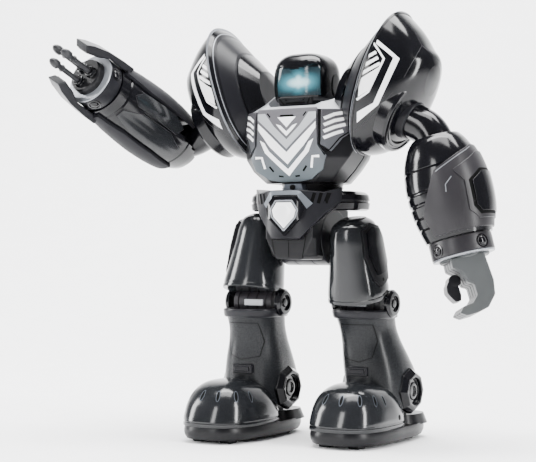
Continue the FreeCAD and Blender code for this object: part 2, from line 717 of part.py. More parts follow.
def knee_pivot():
    """Knee pin with a round cap at each end."""
    low = KNEE_EAR[1] + 0.15
    cap = fused(rod_x(THIGH_KNEE, low, low + 2.6, KNEE_CAP_R),
                Part.makeCone(KNEE_CAP_R, KNEE_CAP_R - 2, 1.8, THIGH_KNEE + X_AXIS * (low + 2.6), X_AXIS))
    cap = cap.cut(rod_x(THIGH_KNEE, low + 2.2, low + 9, 5.5))
    pin = rod_x(THIGH_KNEE, -low, low + 2, KNEE_PIN_R)
    far_cap = cap.mirror(THIGH_KNEE, X_AXIS)
    return joined(fused(cap, pin), far_cap)


def shin_solid(grow=0.0):
    """Outside of the shin."""
    return column(SHIN_LEVELS, grow=grow, power=2.9)


def shin_shells():
    """Front and rear shin covers, which clamp the knee drum between them."""
    solid = shin_solid()
    low = SHIN_LEVELS[-1]
    cavity = column(SHIN_LEVELS + [(low[0] - 4,) + low[1:]], grow=-WALL, power=2.9)
    cavity = cavity.common(box((-BIG, -BIG, 0), (BIG, BIG, 91)))
    drum = rod_x(KNEE, -KNEE_EAR[0] + 0.5, KNEE_EAR[0] - 0.5, 9)
    post = box((KNEE.x - 16, KNEE.y - 7, 90), (KNEE.x + 16, KNEE.y + 7, KNEE.z))
    shell = fused(solid.cut(cavity), drum, post)
    shell = shell.cut(rod_x(KNEE, KNEE_EAR[0] - 0.4, 40, 11.3))
    shell = shell.cut(rod_x(KNEE, -40, -KNEE_EAR[0] + 0.4, 11.3))
    shell = shell.cut(rod_x(ANKLE, 20, 40, 17.6)).cut(rod_x(ANKLE, -40, -20, 17.6))
    shell = shell.cut(rod_x(KNEE, -30, 30, KNEE_PIN_R + RUNNING))
    shell = shell.cut(rod_x(ANKLE, -40, 40, ANKLE_PIN_R + RUNNING))
    slope = (ANKLE.y - KNEE.y) / (KNEE.z - ANKLE.z)
    top, bottom = 115.0, 15.0
    y_top = KNEE.y - slope * (top - KNEE.z)
    y_bottom = ANKLE.y + slope * (ANKLE.z - bottom)
    ahead = prism_x([(-BIG, bottom), (y_bottom - 0.1, bottom), (y_top - 0.1, top), (-BIG, top)], -BIG, BIG)
    behind = prism_x([(BIG, bottom), (y_bottom + 0.1, bottom), (y_top + 0.1, top), (BIG, top)], -BIG, BIG)
    clip = fused(box((34, -17.5, 46), (51, -8, 55)), box((36, -19, 48), (49, -10, 53))).cut(solid)
    front = fused(shell.common(ahead), clip)
    return front, shell.common(behind)


def octagon(centre, radius, x):
    """An octagon across the X axis at a distance from the leg's middle."""
    corners = [math.radians(22.5 + 45 * i) for i in range(8)]
    return polygon([centre + Vector(x, radius * math.cos(t), radius * math.sin(t)) for t in corners])


def ankle_pivot():
    """Ankle pin with a large eight-sided hub at each end."""
    sections = [octagon(ANKLE, 17, 20.3), octagon(ANKLE, 17, 24), octagon(ANKLE, 13.2, 28)]
    hub = Part.makeLoft(sections, True, True)
    hub = hub.cut(rod_x(ANKLE, 24, 40, 9.6)).fuse(rod_x(ANKLE, 23, 26.4, 6)).cut(rod_x(ANKLE, 24.6, 40, 3.4))
    pin = rod_x(ANKLE, -20.3, 22, ANKLE_PIN_R)
    return joined(fused(hub, pin), hub.mirror(ANKLE, X_AXIS))


def foot_shell():
    """Domed toe cap, hollow, cut away behind with room for the shin to rock."""
    solid = column(FOOT_LEVELS, power=2.8)
    cavity = column([(10, 47, -23, 28.4, 41.5)] + FOOT_LEVELS, grow=-WALL, power=2.8)
    cavity = cavity.common(box((-BIG, -BIG, 0), (BIG, BIG, 41.5)))
    dome = solid.cut(cavity)
    low = SHIN_LEVELS[-1]
    dome = dome.cut(column(SHIN_LEVELS + [(low[0] - 4,) + low[1:]], grow=2.0, power=2.9))
    dome = dome.cut(rod_x(ANKLE, -34, 34, 18.6))
    dome = dome.cut(box((32.5, -22, 42), (52.5, 0, 60)))
    dome = dome.cut(box((0, 5, 0), (100, 80, 80)))
    return largest(dome)


def foot_sole():
    """Sole plate with ankle ears, wheel wells, motor pocket and front skids."""
    low, high = SOLE_Z
    plate = column([(low, FOOT_X, FOOT_Y, 27.5, 55.5), (low + 3, FOOT_X, FOOT_Y, 29, 57),
                    (high, FOOT_X, FOOT_Y, 28.8, 56.6)], power=3.0)
    ears = []
    for x in (FOOT_X - 16, FOOT_X + 13):
        ear = fused(box((x, ANKLE.y - 7, high - 2), (x + 3, ANKLE.y + 7, ANKLE.z)),
                    rod(Vector(x, ANKLE.y, ANKLE.z), Vector(x + 3, ANKLE.y, ANKLE.z), 7))
        ears.append(ear)
    skids = []
    for x, y, length in ((FOOT_X - 12, -47, 14), (FOOT_X + 12, -47, 14), (FOOT_X, -14, 20)):
        side = [(y - length / 2, low + 0.5), (y + length / 2, low + 0.5), (y + length / 2 - 2.5, 0),
                (y - length / 2 + 2.5, 0)]
        skids.append(prism_x(side, x - 4, x + 4))
    heel = column([(high - 1, FOOT_X, 27, 27.5, 22), (high + 6.5, FOOT_X, 26.5, 25, 19.5)], power=3.0)
    sole = fused(plate, heel, *ears, *skids)
    pocket = box((FOOT_X - 13, -44, low + 2), (FOOT_X + 13, 12, high + 8))
    sole = sole.cut(pocket)
    axle = Vector(FOOT_X, WHEEL_Y, WHEEL_R)
    for x in (-WHEEL_X, WHEEL_X):
        well = box((axle.x + x - 3.6, axle.y - 7.5, -1), (axle.x + x + 3.6, axle.y + 7.5, high + 1))
        sole = sole.cut(well)
    sole = sole.cut(rod_x(axle, -22.5, 22.5, 1.5 + RUNNING))
    return sole.cut(rod_x(ANKLE, -30, 30, ANKLE_PIN_R + RUNNING))


def drive_wheels():
    """Two ribbed wheels on one axle under the heel."""
    axle = Vector(FOOT_X, WHEEL_Y, WHEEL_R)
    wheels = [rod_x(axle, x - 2.8, x + 2.8, WHEEL_R) for x in (-WHEEL_X, WHEEL_X)]
    return fused(rod_x(axle, -22, 22, 1.5), *wheels)


def gear_motor():
    """Walk motor and gearbox in the sole."""
    low = SOLE_Z[0] + 2.2
    gearbox = box((FOOT_X - 12, -12, low), (FOOT_X + 12, 10, low + 13))
    can = rod(Vector(FOOT_X, -38, low + 8), Vector(FOOT_X, -12, low + 8), 7.8)
    shaft = rod(Vector(FOOT_X, -41, low + 8), Vector(FOOT_X, -38, low + 8), 1.5)
    return fused(gearbox, can, shaft)


# ---------------------------------------------------------------- stance

def swing_leg(side, shape, level):
    """Carries a leg part to the stored stance: the thigh swings, the level parts below it shift."""
    turn = LEG_SWING if side == "left" else -LEG_SWING
    placed = shape.copy() if side == "left" else mirrored(shape)
    if level == "thigh":
        placed.rotate(HIP, X_AXIS, turn)
    else:
        placed.translate(Vector(0, (HIP.z - KNEE.z) * math.tan(math.radians(turn)), 0))
    return placed


def pose_arm(side, shape, beyond_elbow):
    """Carries an arm part to the stored stance."""
    if side == "left":
        return shape.copy()
    placed = mirrored(shape)
    flip = Vector(-1, 1, 1)
    elbow, shoulder, axis = elbow_point(), SHOULDER, shoulder_axis()
    elbow, shoulder, axis = [Vector(p.x * flip.x, p.y, p.z) for p in (elbow, shoulder, axis)]
    if beyond_elbow:
        placed.rotate(elbow, Y_AXIS * -1, ARM_FLEX)
    placed.rotate(shoulder, axis, ARM_RAISE)
    return placed


def trunk_parts():
    """Pelvis, trunk, head and shoulder cowls, by node name."""
    guard = belt_guard()
    pelvis_front, pelvis_rear = pelvis_shells(guard)
    trunk_front, trunk_rear = trunk_shells()
    collar = neck_collar()
    outside = trunk_solid(0.1).fuse([collar, trunk_solid(CHEST_SKIN + 0.1).common(
        box((-BIG, -BIG, 0), (BIG, 0, BIG)))])
    inner = cowl_inner(outside)
    outer = cowl_outer().cut(outside)
    return {
        "pelvis_front_shell": pelvis_front, "pelvis_rear_shell": pelvis_rear, "belt_guard": guard,
        "emblem_lens": emblem_lens(), "waist_post": waist_post(), "hip_pins": hip_pins(),
        "chest_front_shell": trunk_front, "chest_rear_shell": trunk_rear, "chest_panel": chest_panel(),
        "chest_wings": chest_wings(), "battery_door": battery_door(), "battery_cells": battery_cells(),
        "circuit_board": circuit_board(), "speaker": speaker(), "case_screws": case_screws(),
        "power_switch": power_switch(), "neck_collar": collar,
        "helmet_shell": helmet_shell(), "visor": visor(), "eye_panel": eye_panel(), "neck_post": neck_post(),
        "cowl_inner_left": inner, "cowl_inner_right": mirrored(inner),
        "cowl_outer_left": outer, "cowl_outer_right": mirrored(outer),
    }


def arm_parts():
    """Both arms, by node name."""
    parts = {}
    for side in ("left", "right"):
        parts[f"upper_arm_{side}"] = pose_arm(side, upper_arm(), False)
    left = {"forearm_shell_left": forearm_shell(FOREARM_LEVELS, FOREARM_FLEX_MAX),
            "forearm_armour_left": forearm_armour(), "wrist_cuff_left": wrist_cuff(CUFF_R),
            "hand_left": palm(), "thumb_left": thumb()}
    ahead = Z_AXIS * BLASTER_AHEAD
    cuff = wrist_cuff(BLASTER_CUFF_R).rotated(Vector(0, 0, 0), Z_AXIS, RAIL_TURN + 45)
    right = {"blaster_shell": forearm_shell(BLASTER_LEVELS, BLASTER_FLEX_MAX),
             "blaster_rails": blaster_rails(), "blaster_cuff": cuff.translated(ahead),
             "blaster_barrel": blaster_barrel().translated(ahead)}
    for number, offset in enumerate(dart_offsets(), 1):
        right[f"dart_{number}"] = dart(offset).translated(ahead)
    for name, shape in left.items():
        parts[name] = pose_arm("left", forearm_place(shape), True)
    for name, shape in right.items():
        parts[name] = pose_arm("right", forearm_place(shape), True)
    return parts


def leg_parts():
    """Both legs, by node name."""
    shin_front, shin_rear = shin_shells()
    pieces = [
        ("thigh_shell", "thigh", thigh_shell()), ("thigh_armour", "thigh", thigh_armour()),
        ("knee_pivot", "thigh", knee_pivot()), ("shin_front", "shin", shin_front),
        ("shin_rear", "shin", shin_rear), ("ankle_pivot", "shin", ankle_pivot()),
        ("foot_shell", "foot", foot_shell()), ("foot_sole", "foot", foot_sole()),
        ("drive_wheels", "foot", drive_wheels()), ("gear_motor", "foot", gear_motor()),
    ]
    return {f"{name}_{side}": swing_leg(side, shape, level)
            for side in ("left", "right") for name, level, shape in pieces}


def main():
    os.makedirs("parts", exist_ok=True)
    parts = {**trunk_parts(), **arm_parts(), **leg_parts()}
    for name, shape in parts.items():
        print(f"{name}: {len(shape.Solids)} solids, {shape.Volume:.0f} mm3, valid {shape.isValid()}")
        shape.exportStep(os.path.join("parts", name + ".step"))


if __name__ == "__main__":
    main()
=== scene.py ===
"""Looks of the walking toy robot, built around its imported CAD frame.

Shapes are given in millimetres in each limb's own frame, and the joints say where that frame is.
"""

import json
import math

import bmesh
import bpy
from mathutils import Matrix, Vector
from mathutils.bvhtree import BVHTree


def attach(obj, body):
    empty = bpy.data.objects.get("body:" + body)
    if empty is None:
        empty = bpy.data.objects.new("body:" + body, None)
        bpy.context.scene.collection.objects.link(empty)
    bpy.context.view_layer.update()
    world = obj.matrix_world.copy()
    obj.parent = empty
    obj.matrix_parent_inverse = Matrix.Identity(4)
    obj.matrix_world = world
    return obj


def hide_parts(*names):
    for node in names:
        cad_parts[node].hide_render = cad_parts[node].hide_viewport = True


MM = 0.001
UNIT = Matrix.Scale(MM, 4)
MIRROR = Matrix.Diagonal((-1, 1, 1, 1))
FRONT = Vector((0, -1, 0))
UP = Vector((0, 0, 1))
# How far the main view is turned from straight ahead.
VIEW_TURN = math.radians(30)
QUARTER = Vector((math.sin(VIEW_TURN), -math.cos(VIEW_TURN), 0))
# The turn between two faces from which their edge is shaded sharp, and from which it is rounded off.
SHARP_FROM = math.radians(35)
BEVEL_FROM = math.radians(28)
# How far in front of a surface a drawing plane stands, in millimetres.
LOOK_FROM = 70
# The radius at which a sleeve's drawing is to scale, and how square the forearms' sections are.
SLEEVE_RADIUS = 25
SLEEVE_POWER = 2.2

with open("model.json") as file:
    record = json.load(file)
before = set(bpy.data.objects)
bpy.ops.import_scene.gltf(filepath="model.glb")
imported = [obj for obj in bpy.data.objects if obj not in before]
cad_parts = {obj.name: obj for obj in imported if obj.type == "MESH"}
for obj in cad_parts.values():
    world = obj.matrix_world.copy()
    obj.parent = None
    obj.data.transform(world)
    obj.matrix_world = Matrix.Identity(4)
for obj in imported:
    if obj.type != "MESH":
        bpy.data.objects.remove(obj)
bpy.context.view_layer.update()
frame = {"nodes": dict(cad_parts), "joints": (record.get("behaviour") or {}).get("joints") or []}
JOINTS = {joint["name"]: joint for joint in frame["joints"]}
MATERIALS = {}


# ---------------------------------------------------------------- frames

def joint_point(name):
    """A joint's position in millimetres."""
    return Vector(JOINTS[name]["pos_m"]) / MM


def joint_axis(name):
    """A joint's axis as a unit vector."""
    return Vector(JOINTS[name]["axis"]).normalized()


def frame_of(origin, x_dir, y_dir, z_dir):
    """A matrix from millimetres along the given axes to metres in the CAD frame."""
    turn = Matrix((x_dir, y_dir, z_dir)).transposed().to_4x4()
    turn.translation = Vector(origin)
    return UNIT @ turn


def thigh_frame(side):
    """Neutral left-leg millimetres to the stored stance of one thigh."""
    hip, knee = joint_point(f"hip_{side}"), joint_point(f"knee_{side}")
    angle = math.atan2(knee.y - hip.y, hip.z - knee.z)
    pivot = Vector((0, hip.y, hip.z))
    turn = Matrix.Translation(pivot) @ Matrix.Rotation(angle, 4, "X") @ Matrix.Translation(-pivot)
    return UNIT @ turn @ (MIRROR if side == "right" else Matrix())


def shin_frame(side):
    """Neutral left-leg millimetres to the stored stance of one shin or foot."""
    hip, knee = joint_point(f"hip_{side}"), joint_point(f"knee_{side}")
    return UNIT @ Matrix.Translation((0, knee.y - hip.y, 0)) @ (MIRROR if side == "right" else Matrix())


def forearm_frame(side):
    """A frame at the elbow with Z along the forearm."""
    if side == "left":
        along, across = joint_axis("wrist_left"), joint_axis("elbow_left")
        return frame_of(joint_point("elbow_left"), across.cross(along), across, along)
    along, across = joint_axis("dart_1_slide"), -joint_axis("elbow_right")
    return frame_of(joint_point("elbow_right"), along.cross(across), across, along)


def shoulder_directions(side):
    """Shoulder point, outward axis, and the direction in which the upper arm bends."""
    out = joint_axis(f"shoulder_{side}") * (-1 if side == "left" else 1)
    point = joint_point(f"shoulder_{side}")
    reach = joint_point(f"elbow_{side}") - point
    down = (reach - out * reach.dot(out)).normalized()
    return point, out, down


def cowl_frame(side):
    """A frame on the middle of a cowl's seam: X outward, Y back, Z up along the seam."""
    tilt = math.radians(18)
    out = Vector((math.cos(tilt), 0, -math.sin(tilt)))
    up = Vector((math.sin(tilt), 0, math.cos(tilt)))
    matrix = frame_of((62, 0, 262), out, -FRONT, up)
    return MIRROR @ matrix if side == "right" else matrix


# ---------------------------------------------------------------- materials

def node(tree, kind, **values):
    """A shader node with its plain inputs set."""
    made = tree.nodes.new(kind)
    for name, value in values.items():
        made.inputs[name.replace("_", " ")].default_value = value
    return made


def plastic(name, colour, rough, metallic=0.0, level=0.4, spread=0.2, grain=1800.0, bump=0.04):
    """Moulded plastic: colour drifts slightly, roughness varies, and the skin has a fine grain."""
    made = bpy.data.materials.new(name)
    made.use_nodes = True
    tree = made.node_tree
    shader = tree.nodes["Principled BSDF"]
    shader.inputs["Metallic"].default_value = metallic
    shader.inputs["Specular IOR Level"].default_value = level
    place = tree.nodes.new("ShaderNodeTexCoord")
    cloud = node(tree, "ShaderNodeTexNoise", Scale=28.0, Detail=3.0)
    fine = node(tree, "ShaderNodeTexNoise", Scale=grain, Detail=2.0)
    ramp = tree.nodes.new("ShaderNodeValToRGB")
    ramp.color_ramp.elements[0].position = 0.3
    ramp.color_ramp.elements[1].position = 0.7
    ramp.color_ramp.elements[0].color = [c * (1 - spread) for c in colour] + [1]
    ramp.color_ramp.elements[1].color = [min(1, c * (1 + spread)) for c in colour] + [1]
    reach = node(tree, "ShaderNodeMapRange", To_Min=max(0.02, rough * 0.85), To_Max=rough * 1.2)
    skin_bump = node(tree, "ShaderNodeBump", Strength=bump, Distance=0.0002)
    for texture in (cloud, fine):
        tree.links.new(place.outputs["Object"], texture.inputs["Vector"])
    tree.links.new(cloud.outputs["Fac"], ramp.inputs["Fac"])
    tree.links.new(ramp.outputs["Color"], shader.inputs["Base Color"])
    tree.links.new(fine.outputs["Fac"], reach.inputs["Value"])
    tree.links.new(reach.outputs["Result"], shader.inputs["Roughness"])
    tree.links.new(fine.outputs["Fac"], skin_bump.inputs["Height"])
    tree.links.new(skin_bump.outputs["Normal"], shader.inputs["Normal"])
    MATERIALS[name] = made
    return made


def clear_plastic(name, colour, alpha, rough):
    """Tinted transparent plastic with faint waviness."""
    made = plastic(name, colour, rough, level=0.6, spread=0.1, grain=60.0, bump=0.02)
    made.node_tree.nodes["Principled BSDF"].inputs["Alpha"].default_value = alpha
    return made


def maths(tree, operation, first, second):
    """The result of a maths node; each input is a socket or a plain number."""
    made = tree.nodes.new("ShaderNodeMath")
    made.operation = operation
    for socket, value in zip(made.inputs, (first, second)):
        if isinstance(value, float):
            socket.default_value = value
        else:
            tree.links.new(value, socket)
    return made.outputs[0]


def fade(tree, source, middle, reach):
    """1 at a coordinate, falling to 0 at some distance from it."""
    fall = node(tree, "ShaderNodeMapRange", From_Min=0.0, From_Max=reach, To_Min=1.0, To_Max=0.0)
    fall.interpolation_type = "SMOOTHSTEP"
    away = maths(tree, "SUBTRACT", source, middle)
    tree.links.new(maths(tree, "ABSOLUTE", away, 0.0), fall.inputs["Value"])
    return fall.outputs["Result"]


def place_axes(tree):
    """The object coordinates of the shaded point, one output for each axis."""
    place = tree.nodes.new("ShaderNodeTexCoord")
    split = tree.nodes.new("ShaderNodeSeparateXYZ")
    tree.links.new(place.outputs["Object"], split.inputs["Vector"])
    return split.outputs


def paint_shade_downwards(made, low, high, shade_colour):
    """Painted shade: multiply the base colour by a darker, bluer colour below one height, easing off to none
    at a greater height.
    """
    tree = made.node_tree
    colour = tree.nodes["Principled BSDF"].inputs["Base Color"]
    plain = colour.links[0].from_socket
    shade_amount = node(tree, "ShaderNodeMapRange", From_Min=low, From_Max=high, To_Min=1.0, To_Max=0.0)
    blend = tree.nodes.new("ShaderNodeMixRGB")
    blend.blend_type = "MULTIPLY"
    blend.inputs["Color2"].default_value = (*shade_colour, 1)
    tree.links.new(place_axes(tree)["Z"], shade_amount.inputs["Value"])
    tree.links.new(shade_amount.outputs["Result"], blend.inputs["Fac"])
    tree.links.new(plain, blend.inputs["Color1"])
    tree.links.new(blend.outputs["Color"], colour)


def light_panel():
    """Eye light: a level band across the face with an upright column in its middle."""
    made = plastic("eye_light", (0.03, 0.06, 0.07), 0.3)
    tree = made.node_tree
    shader = tree.nodes["Principled BSDF"]
    axes = place_axes(tree)
    middle_x, band_z, column_z = -0.001, 0.2650, 0.2655
    band = maths(tree, "MULTIPLY", fade(tree, axes["Z"], band_z, 0.0088),
                 fade(tree, axes["X"], middle_x, 0.022))
    column = maths(tree, "MULTIPLY", fade(tree, axes["X"], middle_x, 0.0088),
                   fade(tree, axes["Z"], column_z, 0.0115))
    ramp = tree.nodes.new("ShaderNodeValToRGB")
    ramp.color_ramp.elements[0].color = (0.002, 0.008, 0.012, 1)
    ramp.color_ramp.elements[1].color = (0.62, 0.93, 1.0, 1)
    middle = ramp.color_ramp.elements.new(0.5)
    middle.color = (0.05, 0.22, 0.28, 1)
    tree.links.new(maths(tree, "MAXIMUM", band, column), ramp.inputs["Fac"])
    tree.links.new(ramp.outputs["Color"], shader.inputs["Emission Color"])
    shader.inputs["Emission Strength"].default_value = 4.2


def make_materials():
    """Every material of the robot, kept by name in MATERIALS."""
    plastic("black", (0.0025, 0.0025, 0.0035), 0.13, level=0.32)
    plastic("black_satin", (0.006, 0.006, 0.007), 0.32, level=0.18, bump=0.12)
    plastic("groove", (0.001, 0.001, 0.001), 0.6, level=0.05)
    plastic("slate", (0.0080, 0.0087, 0.0100), 0.15, level=0.40)
    plastic("rail_grey", (0.011, 0.011, 0.013), 0.5, level=0.05, grain=3000, bump=0.1)
    plastic("slate_soft", (0.0095, 0.0102, 0.0115), 0.27, level=0.16, bump=0.06)
    plastic("gunmetal", (0.014, 0.013, 0.015), 0.36, level=0.25, grain=3000, bump=0.1)
    plastic("gunmetal_dark", (0.008, 0.008, 0.010), 0.3, level=0.16, grain=3000, bump=0.08)
    plastic("silver", (0.115, 0.128, 0.145), 0.38, metallic=0.6, spread=0.12, grain=3000, bump=0.06)
    plate = plastic("silver_plate", (0.106, 0.103, 0.113), 0.38, metallic=0.6, spread=0.12, grain=3000,
                    bump=0.06)
    # Painted shade: the chest plate turns darker and bluer towards the belly.
    paint_shade_downwards(plate, 0.197, 0.232, (0.52, 0.66, 0.67))
    plastic("silver_blue", (0.055, 0.063, 0.076), 0.34, metallic=0.5, spread=0.15, grain=3000, bump=0.06)
    plastic("seam_line", (0.22, 0.23, 0.25), 0.3, metallic=0.4, spread=0.1)
    plastic("pale_silver", (0.36, 0.37, 0.39), 0.4, metallic=0.4, spread=0.08, grain=3000)
    plastic("white_print", (0.92, 0.92, 0.93), 0.42, spread=0.03, bump=0.05)
    plastic("hand_grey", (0.044, 0.047, 0.048), 0.42, level=0.3, spread=0.15, bump=0.15)
    plastic("steel", (0.42, 0.42, 0.43), 0.28, metallic=1.0, spread=0.1)
    plastic("dart_grey", (0.012, 0.012, 0.014), 0.36, level=0.3, bump=0.1)
    plastic("rubber", (0.006, 0.006, 0.006), 0.75, level=0.1, bump=0.3)
    plastic("board_green", (0.02, 0.12, 0.05), 0.4, grain=700, bump=0.2)
    plastic("cell_wrap", (0.16, 0.17, 0.18), 0.35, metallic=0.4)
    clear_plastic("smoked", (0.006, 0.010, 0.012), 0.45, 0.14)
    clear_plastic("lens", (0.95, 0.96, 0.98), 0.9, 0.08)
    light_panel()


# ---------------------------------------------------------------- mesh tools

# Points from (across, up or back, along) where the third value runs along the named axis.
ALONG = {
    "x": lambda u, v, w: (w, u, v),
    "y": lambda u, v, w: (u, w, v),
    "z": lambda u, v, w: (u, v, w),
}


def superellipse(a, b, power, count):
    """Flat points of a rounded oval."""
    points = []
    for i in range(count):
        angle = 2 * math.pi * i / count
        c, s = math.cos(angle), math.sin(angle)
        points.append((a * math.copysign(abs(c) ** (2 / power), c),
                       b * math.copysign(abs(s) ** (2 / power), s)))
    return points


def smooth_stations(stations, steps):
    """Stations on a curve through the given ones, with steps of them for each gap."""
    padded = [stations[0]] + list(stations) + [stations[-1]]
    result = []
    for a, b, c, d in zip(padded, padded[1:], padded[2:], padded[3:]):
        for i in range(steps):
            t = i / steps
            result.append(tuple(
                0.5 * (2 * q + (r - p) * t + (2 * p - 5 * q + 4 * r - s) * t * t
                       + (3 * q - p - 3 * r + s) * t ** 3)
                for p, q, r, s in zip(a, b, c, d)))
    result.append(tuple(stations[-1]))
    return result


def skin(bm, rings, cap_start=True, cap_end=True):
    """Quads between closed rings of points, with end caps."""
    rows = [[bm.verts.new(point) for point in ring] for ring in rings]
    count = len(rows[0])
    for low, high in zip(rows, rows[1:]):
        for i in range(count):
            bm.faces.new((low[i], low[(i + 1) % count], high[(i + 1) % count], high[i]))
    if cap_start:
        bm.faces.new(list(reversed(rows[0])))
    if cap_end:
        bm.faces.new(rows[-1])


def ovals(levels, power, count):
    """Level rings from (height, centre x, centre y, half width, half depth)."""
    return [[(cx + x, cy + y, z) for x, y in superellipse(a, b, power, count)] for z, cx, cy, a, b in levels]


def extrude_outline(bm, outline, low, high, axis="y"):
    """A prism from a flat outline, from low to high along an axis."""
    skin(bm, [[ALONG[axis](u, v, w) for u, v in outline] for w in (low, high)])


def lathe(bm, profile, count=48, centre=(0, 0), axis="z"):
    """Turns (distance along, radius) points about an axis through centre."""
    rings = []
    for w, radius in profile:
        circle = superellipse(radius, radius, 2, count)
        rings.append([ALONG[axis](centre[0] + x, centre[1] + y, w) for x, y in circle])
    skin(bm, rings)


def cut_away(bm, point, normal, dist=0.0):
    """Removes what lies beyond a plane, on the side that its normal points to."""
    everything = bm.verts[:] + bm.edges[:] + bm.faces[:]
    return bmesh.ops.bisect_plane(bm, geom=everything, plane_co=point, plane_no=normal, clear_outer=True,
                                  dist=dist)


def piece(name, bm, matrix, material, body, nodes=(), slot="gloss_black", bevel=0.0, segments=3):
    """Bakes a mesh into the CAD frame and hangs it on a body; bevel is in millimetres."""
    bm.transform(matrix)
    bmesh.ops.recalc_face_normals(bm, faces=bm.faces)
    mesh = bpy.data.meshes.new(name)
    bm.to_mesh(mesh)
    bm.free()
    made = bpy.data.objects.new(name, mesh)
    bpy.context.collection.objects.link(made)
    mesh.materials.append(MATERIALS[material])
    mesh.shade_smooth()
    mesh.set_sharp_from_angle(angle=SHARP_FROM)
    if bevel:
        rounder = made.modifiers.new("rounding", "BEVEL")
        rounder.width = bevel * MM
        rounder.segments = segments
        rounder.limit_method = "ANGLE"
        rounder.angle_limit = BEVEL_FROM
        rounder.harden_normals = True
    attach(made, body)
    if nodes:
        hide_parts(*nodes)
    return made


def skinned(name, rings, matrix, material, body, nodes=(), caps=(True, True), **finish):
    """A piece skinned over closed rings."""
    bm = bmesh.new()
    skin(bm, rings, *caps)
    return piece(name, bm, matrix, material, body, nodes, **finish)


def turned(name, profile, matrix, material, body, nodes=(), count=48, centre=(0, 0), axis="z", **finish):
    """A piece turned from a profile."""
    bm = bmesh.new()
    lathe(bm, profile, count, centre, axis)
    return piece(name, bm, matrix, material, body, nodes, **finish)


def prism(name, outline, low, high, matrix, material, body, nodes=(), axis="y", **finish):
    """A piece pulled out of a flat outline."""
    bm = bmesh.new()
    extrude_outline(bm, outline, low, high, axis)
    return piece(name, bm, matrix, material, body, nodes, **finish)


def tree_of(*objects):
    """A search tree over the shown surface of some objects."""
    joined = bmesh.new()
    graph = bpy.context.evaluated_depsgraph_get()
    for target in objects:
        shown = target.evaluated_get(graph)
        mesh = shown.to_mesh()
        mesh.transform(target.matrix_world)
        joined.from_mesh(mesh)
        shown.to_mesh_clear()
    tree = BVHTree.FromBMesh(joined)
    joined.free()
    return tree


class Plane:
    """A flat drawing plane in front of a surface; u runs right and v up for the one who looks at it."""

    def __init__(self, matrix, origin, viewer, up, surface):
        turn = matrix.to_3x3()
        look = Vector(viewer).normalized()
        right = Vector(up).cross(look).normalized()
        self.origin = matrix @ (Vector(origin) + look * LOOK_FROM)
        self.right = turn @ right
        self.up = turn @ look.cross(right)
        self.into = -(turn @ look).normalized()
        self.surface = surface

    def press(self, u, v, lift):
        """The point of the surface behind (u, v), raised by lift millimetres."""
        start = self.origin + self.right * u + self.up * v
        hit, normal, _, _ = self.surface.ray_cast(start, self.into)
        if hit is None:
            hit, normal, _, _ = self.surface.find_nearest(start + self.into * LOOK_FROM * MM)
        if normal.dot(self.into) > 0:
            normal = -normal
        return hit + normal * lift * MM


class Wrap:
    """A sleeve around a forearm: u runs around it from the side that faces the viewer, v along it."""

    def __init__(self, matrix, levels, viewer, axis):
        turn = matrix.to_3x3().inverted()
        look = turn @ Vector(viewer)
        right = turn @ Vector(axis).cross(Vector(viewer))
        self.start = math.atan2(look.y, look.x)
        self.sense = 1 if look.x * right.y - look.y * right.x > 0 else -1
        self.matrix = matrix
        self.stations = smooth_stations(levels, 12)

    def press(self, u, v, lift):
        """The point of the sleeve u millimetres around and v along, raised by lift millimetres."""
        for low, high in zip(self.stations, self.stations[1:]):
            if high[0] >= v:
                break
        share = min(1, max(0, (v - low[0]) / (high[0] - low[0])))
        a = low[1] + (high[1] - low[1]) * share
        b = low[2] + (high[2] - low[2]) * share
        angle = self.start + self.sense * u / SLEEVE_RADIUS
        c, s = math.cos(angle), math.sin(angle)
        radius = (abs(c / a) ** SLEEVE_POWER + abs(s / b) ** SLEEVE_POWER) ** (-1 / SLEEVE_POWER) + lift
        return self.matrix @ Vector((radius * c, radius * s, v))


def facing(surface, viewer=FRONT, reach=35):
    """A drawing plane across the robot's middle, seen from straight ahead or from straight behind."""
    return Plane(UNIT, viewer * reach, viewer, UP, surface)


def is_convex(outline):
    """True if the outline turns the same way at every corner."""
    turns = []
    for p, q, r in zip(outline, outline[1:] + outline[:1], outline[2:] + outline[:2]):
        turns.append((q[0] - p[0]) * (r[1] - q[1]) - (q[1] - p[1]) * (r[0] - q[0]))
    return all(turn >= -1e-9 for turn in turns) or all(turn <= 1e-9 for turn in turns)


def grid_sheet(outline, step):
    """A flat sheet with a convex outline, cut from a square grid."""
    bm = bmesh.new()
    low_u, low_v = min(u for u, v in outline), min(v for u, v in outline)
    across = int((max(u for u, v in outline) - low_u) / step) + 1
    along = int((max(v for u, v in outline) - low_v) / step) + 1
    rows = [[bm.verts.new((low_u + i * step, low_v + j * step, 0)) for i in range(across + 1)]
            for j in range(along + 1)]
    for lower, upper in zip(rows, rows[1:]):
        for i in range(across):
            bm.faces.new((lower[i], lower[i + 1], upper[i + 1], upper[i]))
    middle = Vector((sum(u for u, v in outline), sum(v for u, v in outline), 0)) / len(outline)
    for p, q in zip(outline, outline[1:] + outline[:1]):
        normal = Vector((q[1] - p[1], p[0] - q[0], 0))
        if normal.dot(middle - Vector((p[0], p[1], 0))) > 0:
            normal = -normal
        cut_away(bm, (p[0], p[1], 0), normal, dist=1e-5)
    return bm


def triangle_sheet(outline, step):
    """A flat sheet with any outline, in triangles no longer than step."""
    bm = bmesh.new()
    bm.faces.new([bm.verts.new((u, v, 0)) for u, v in outline])
    bmesh.ops.triangulate(bm, faces=bm.faces)
    for _ in range(7):
        long_edges = [edge for edge in bm.edges if edge.calc_length() > step]
        if not long_edges:
            break
        bmesh.ops.subdivide_edges(bm, edges=long_edges, cuts=1)
        bmesh.ops.triangulate(bm, faces=[face for face in bm.faces if len(face.verts) > 3])
    return bm


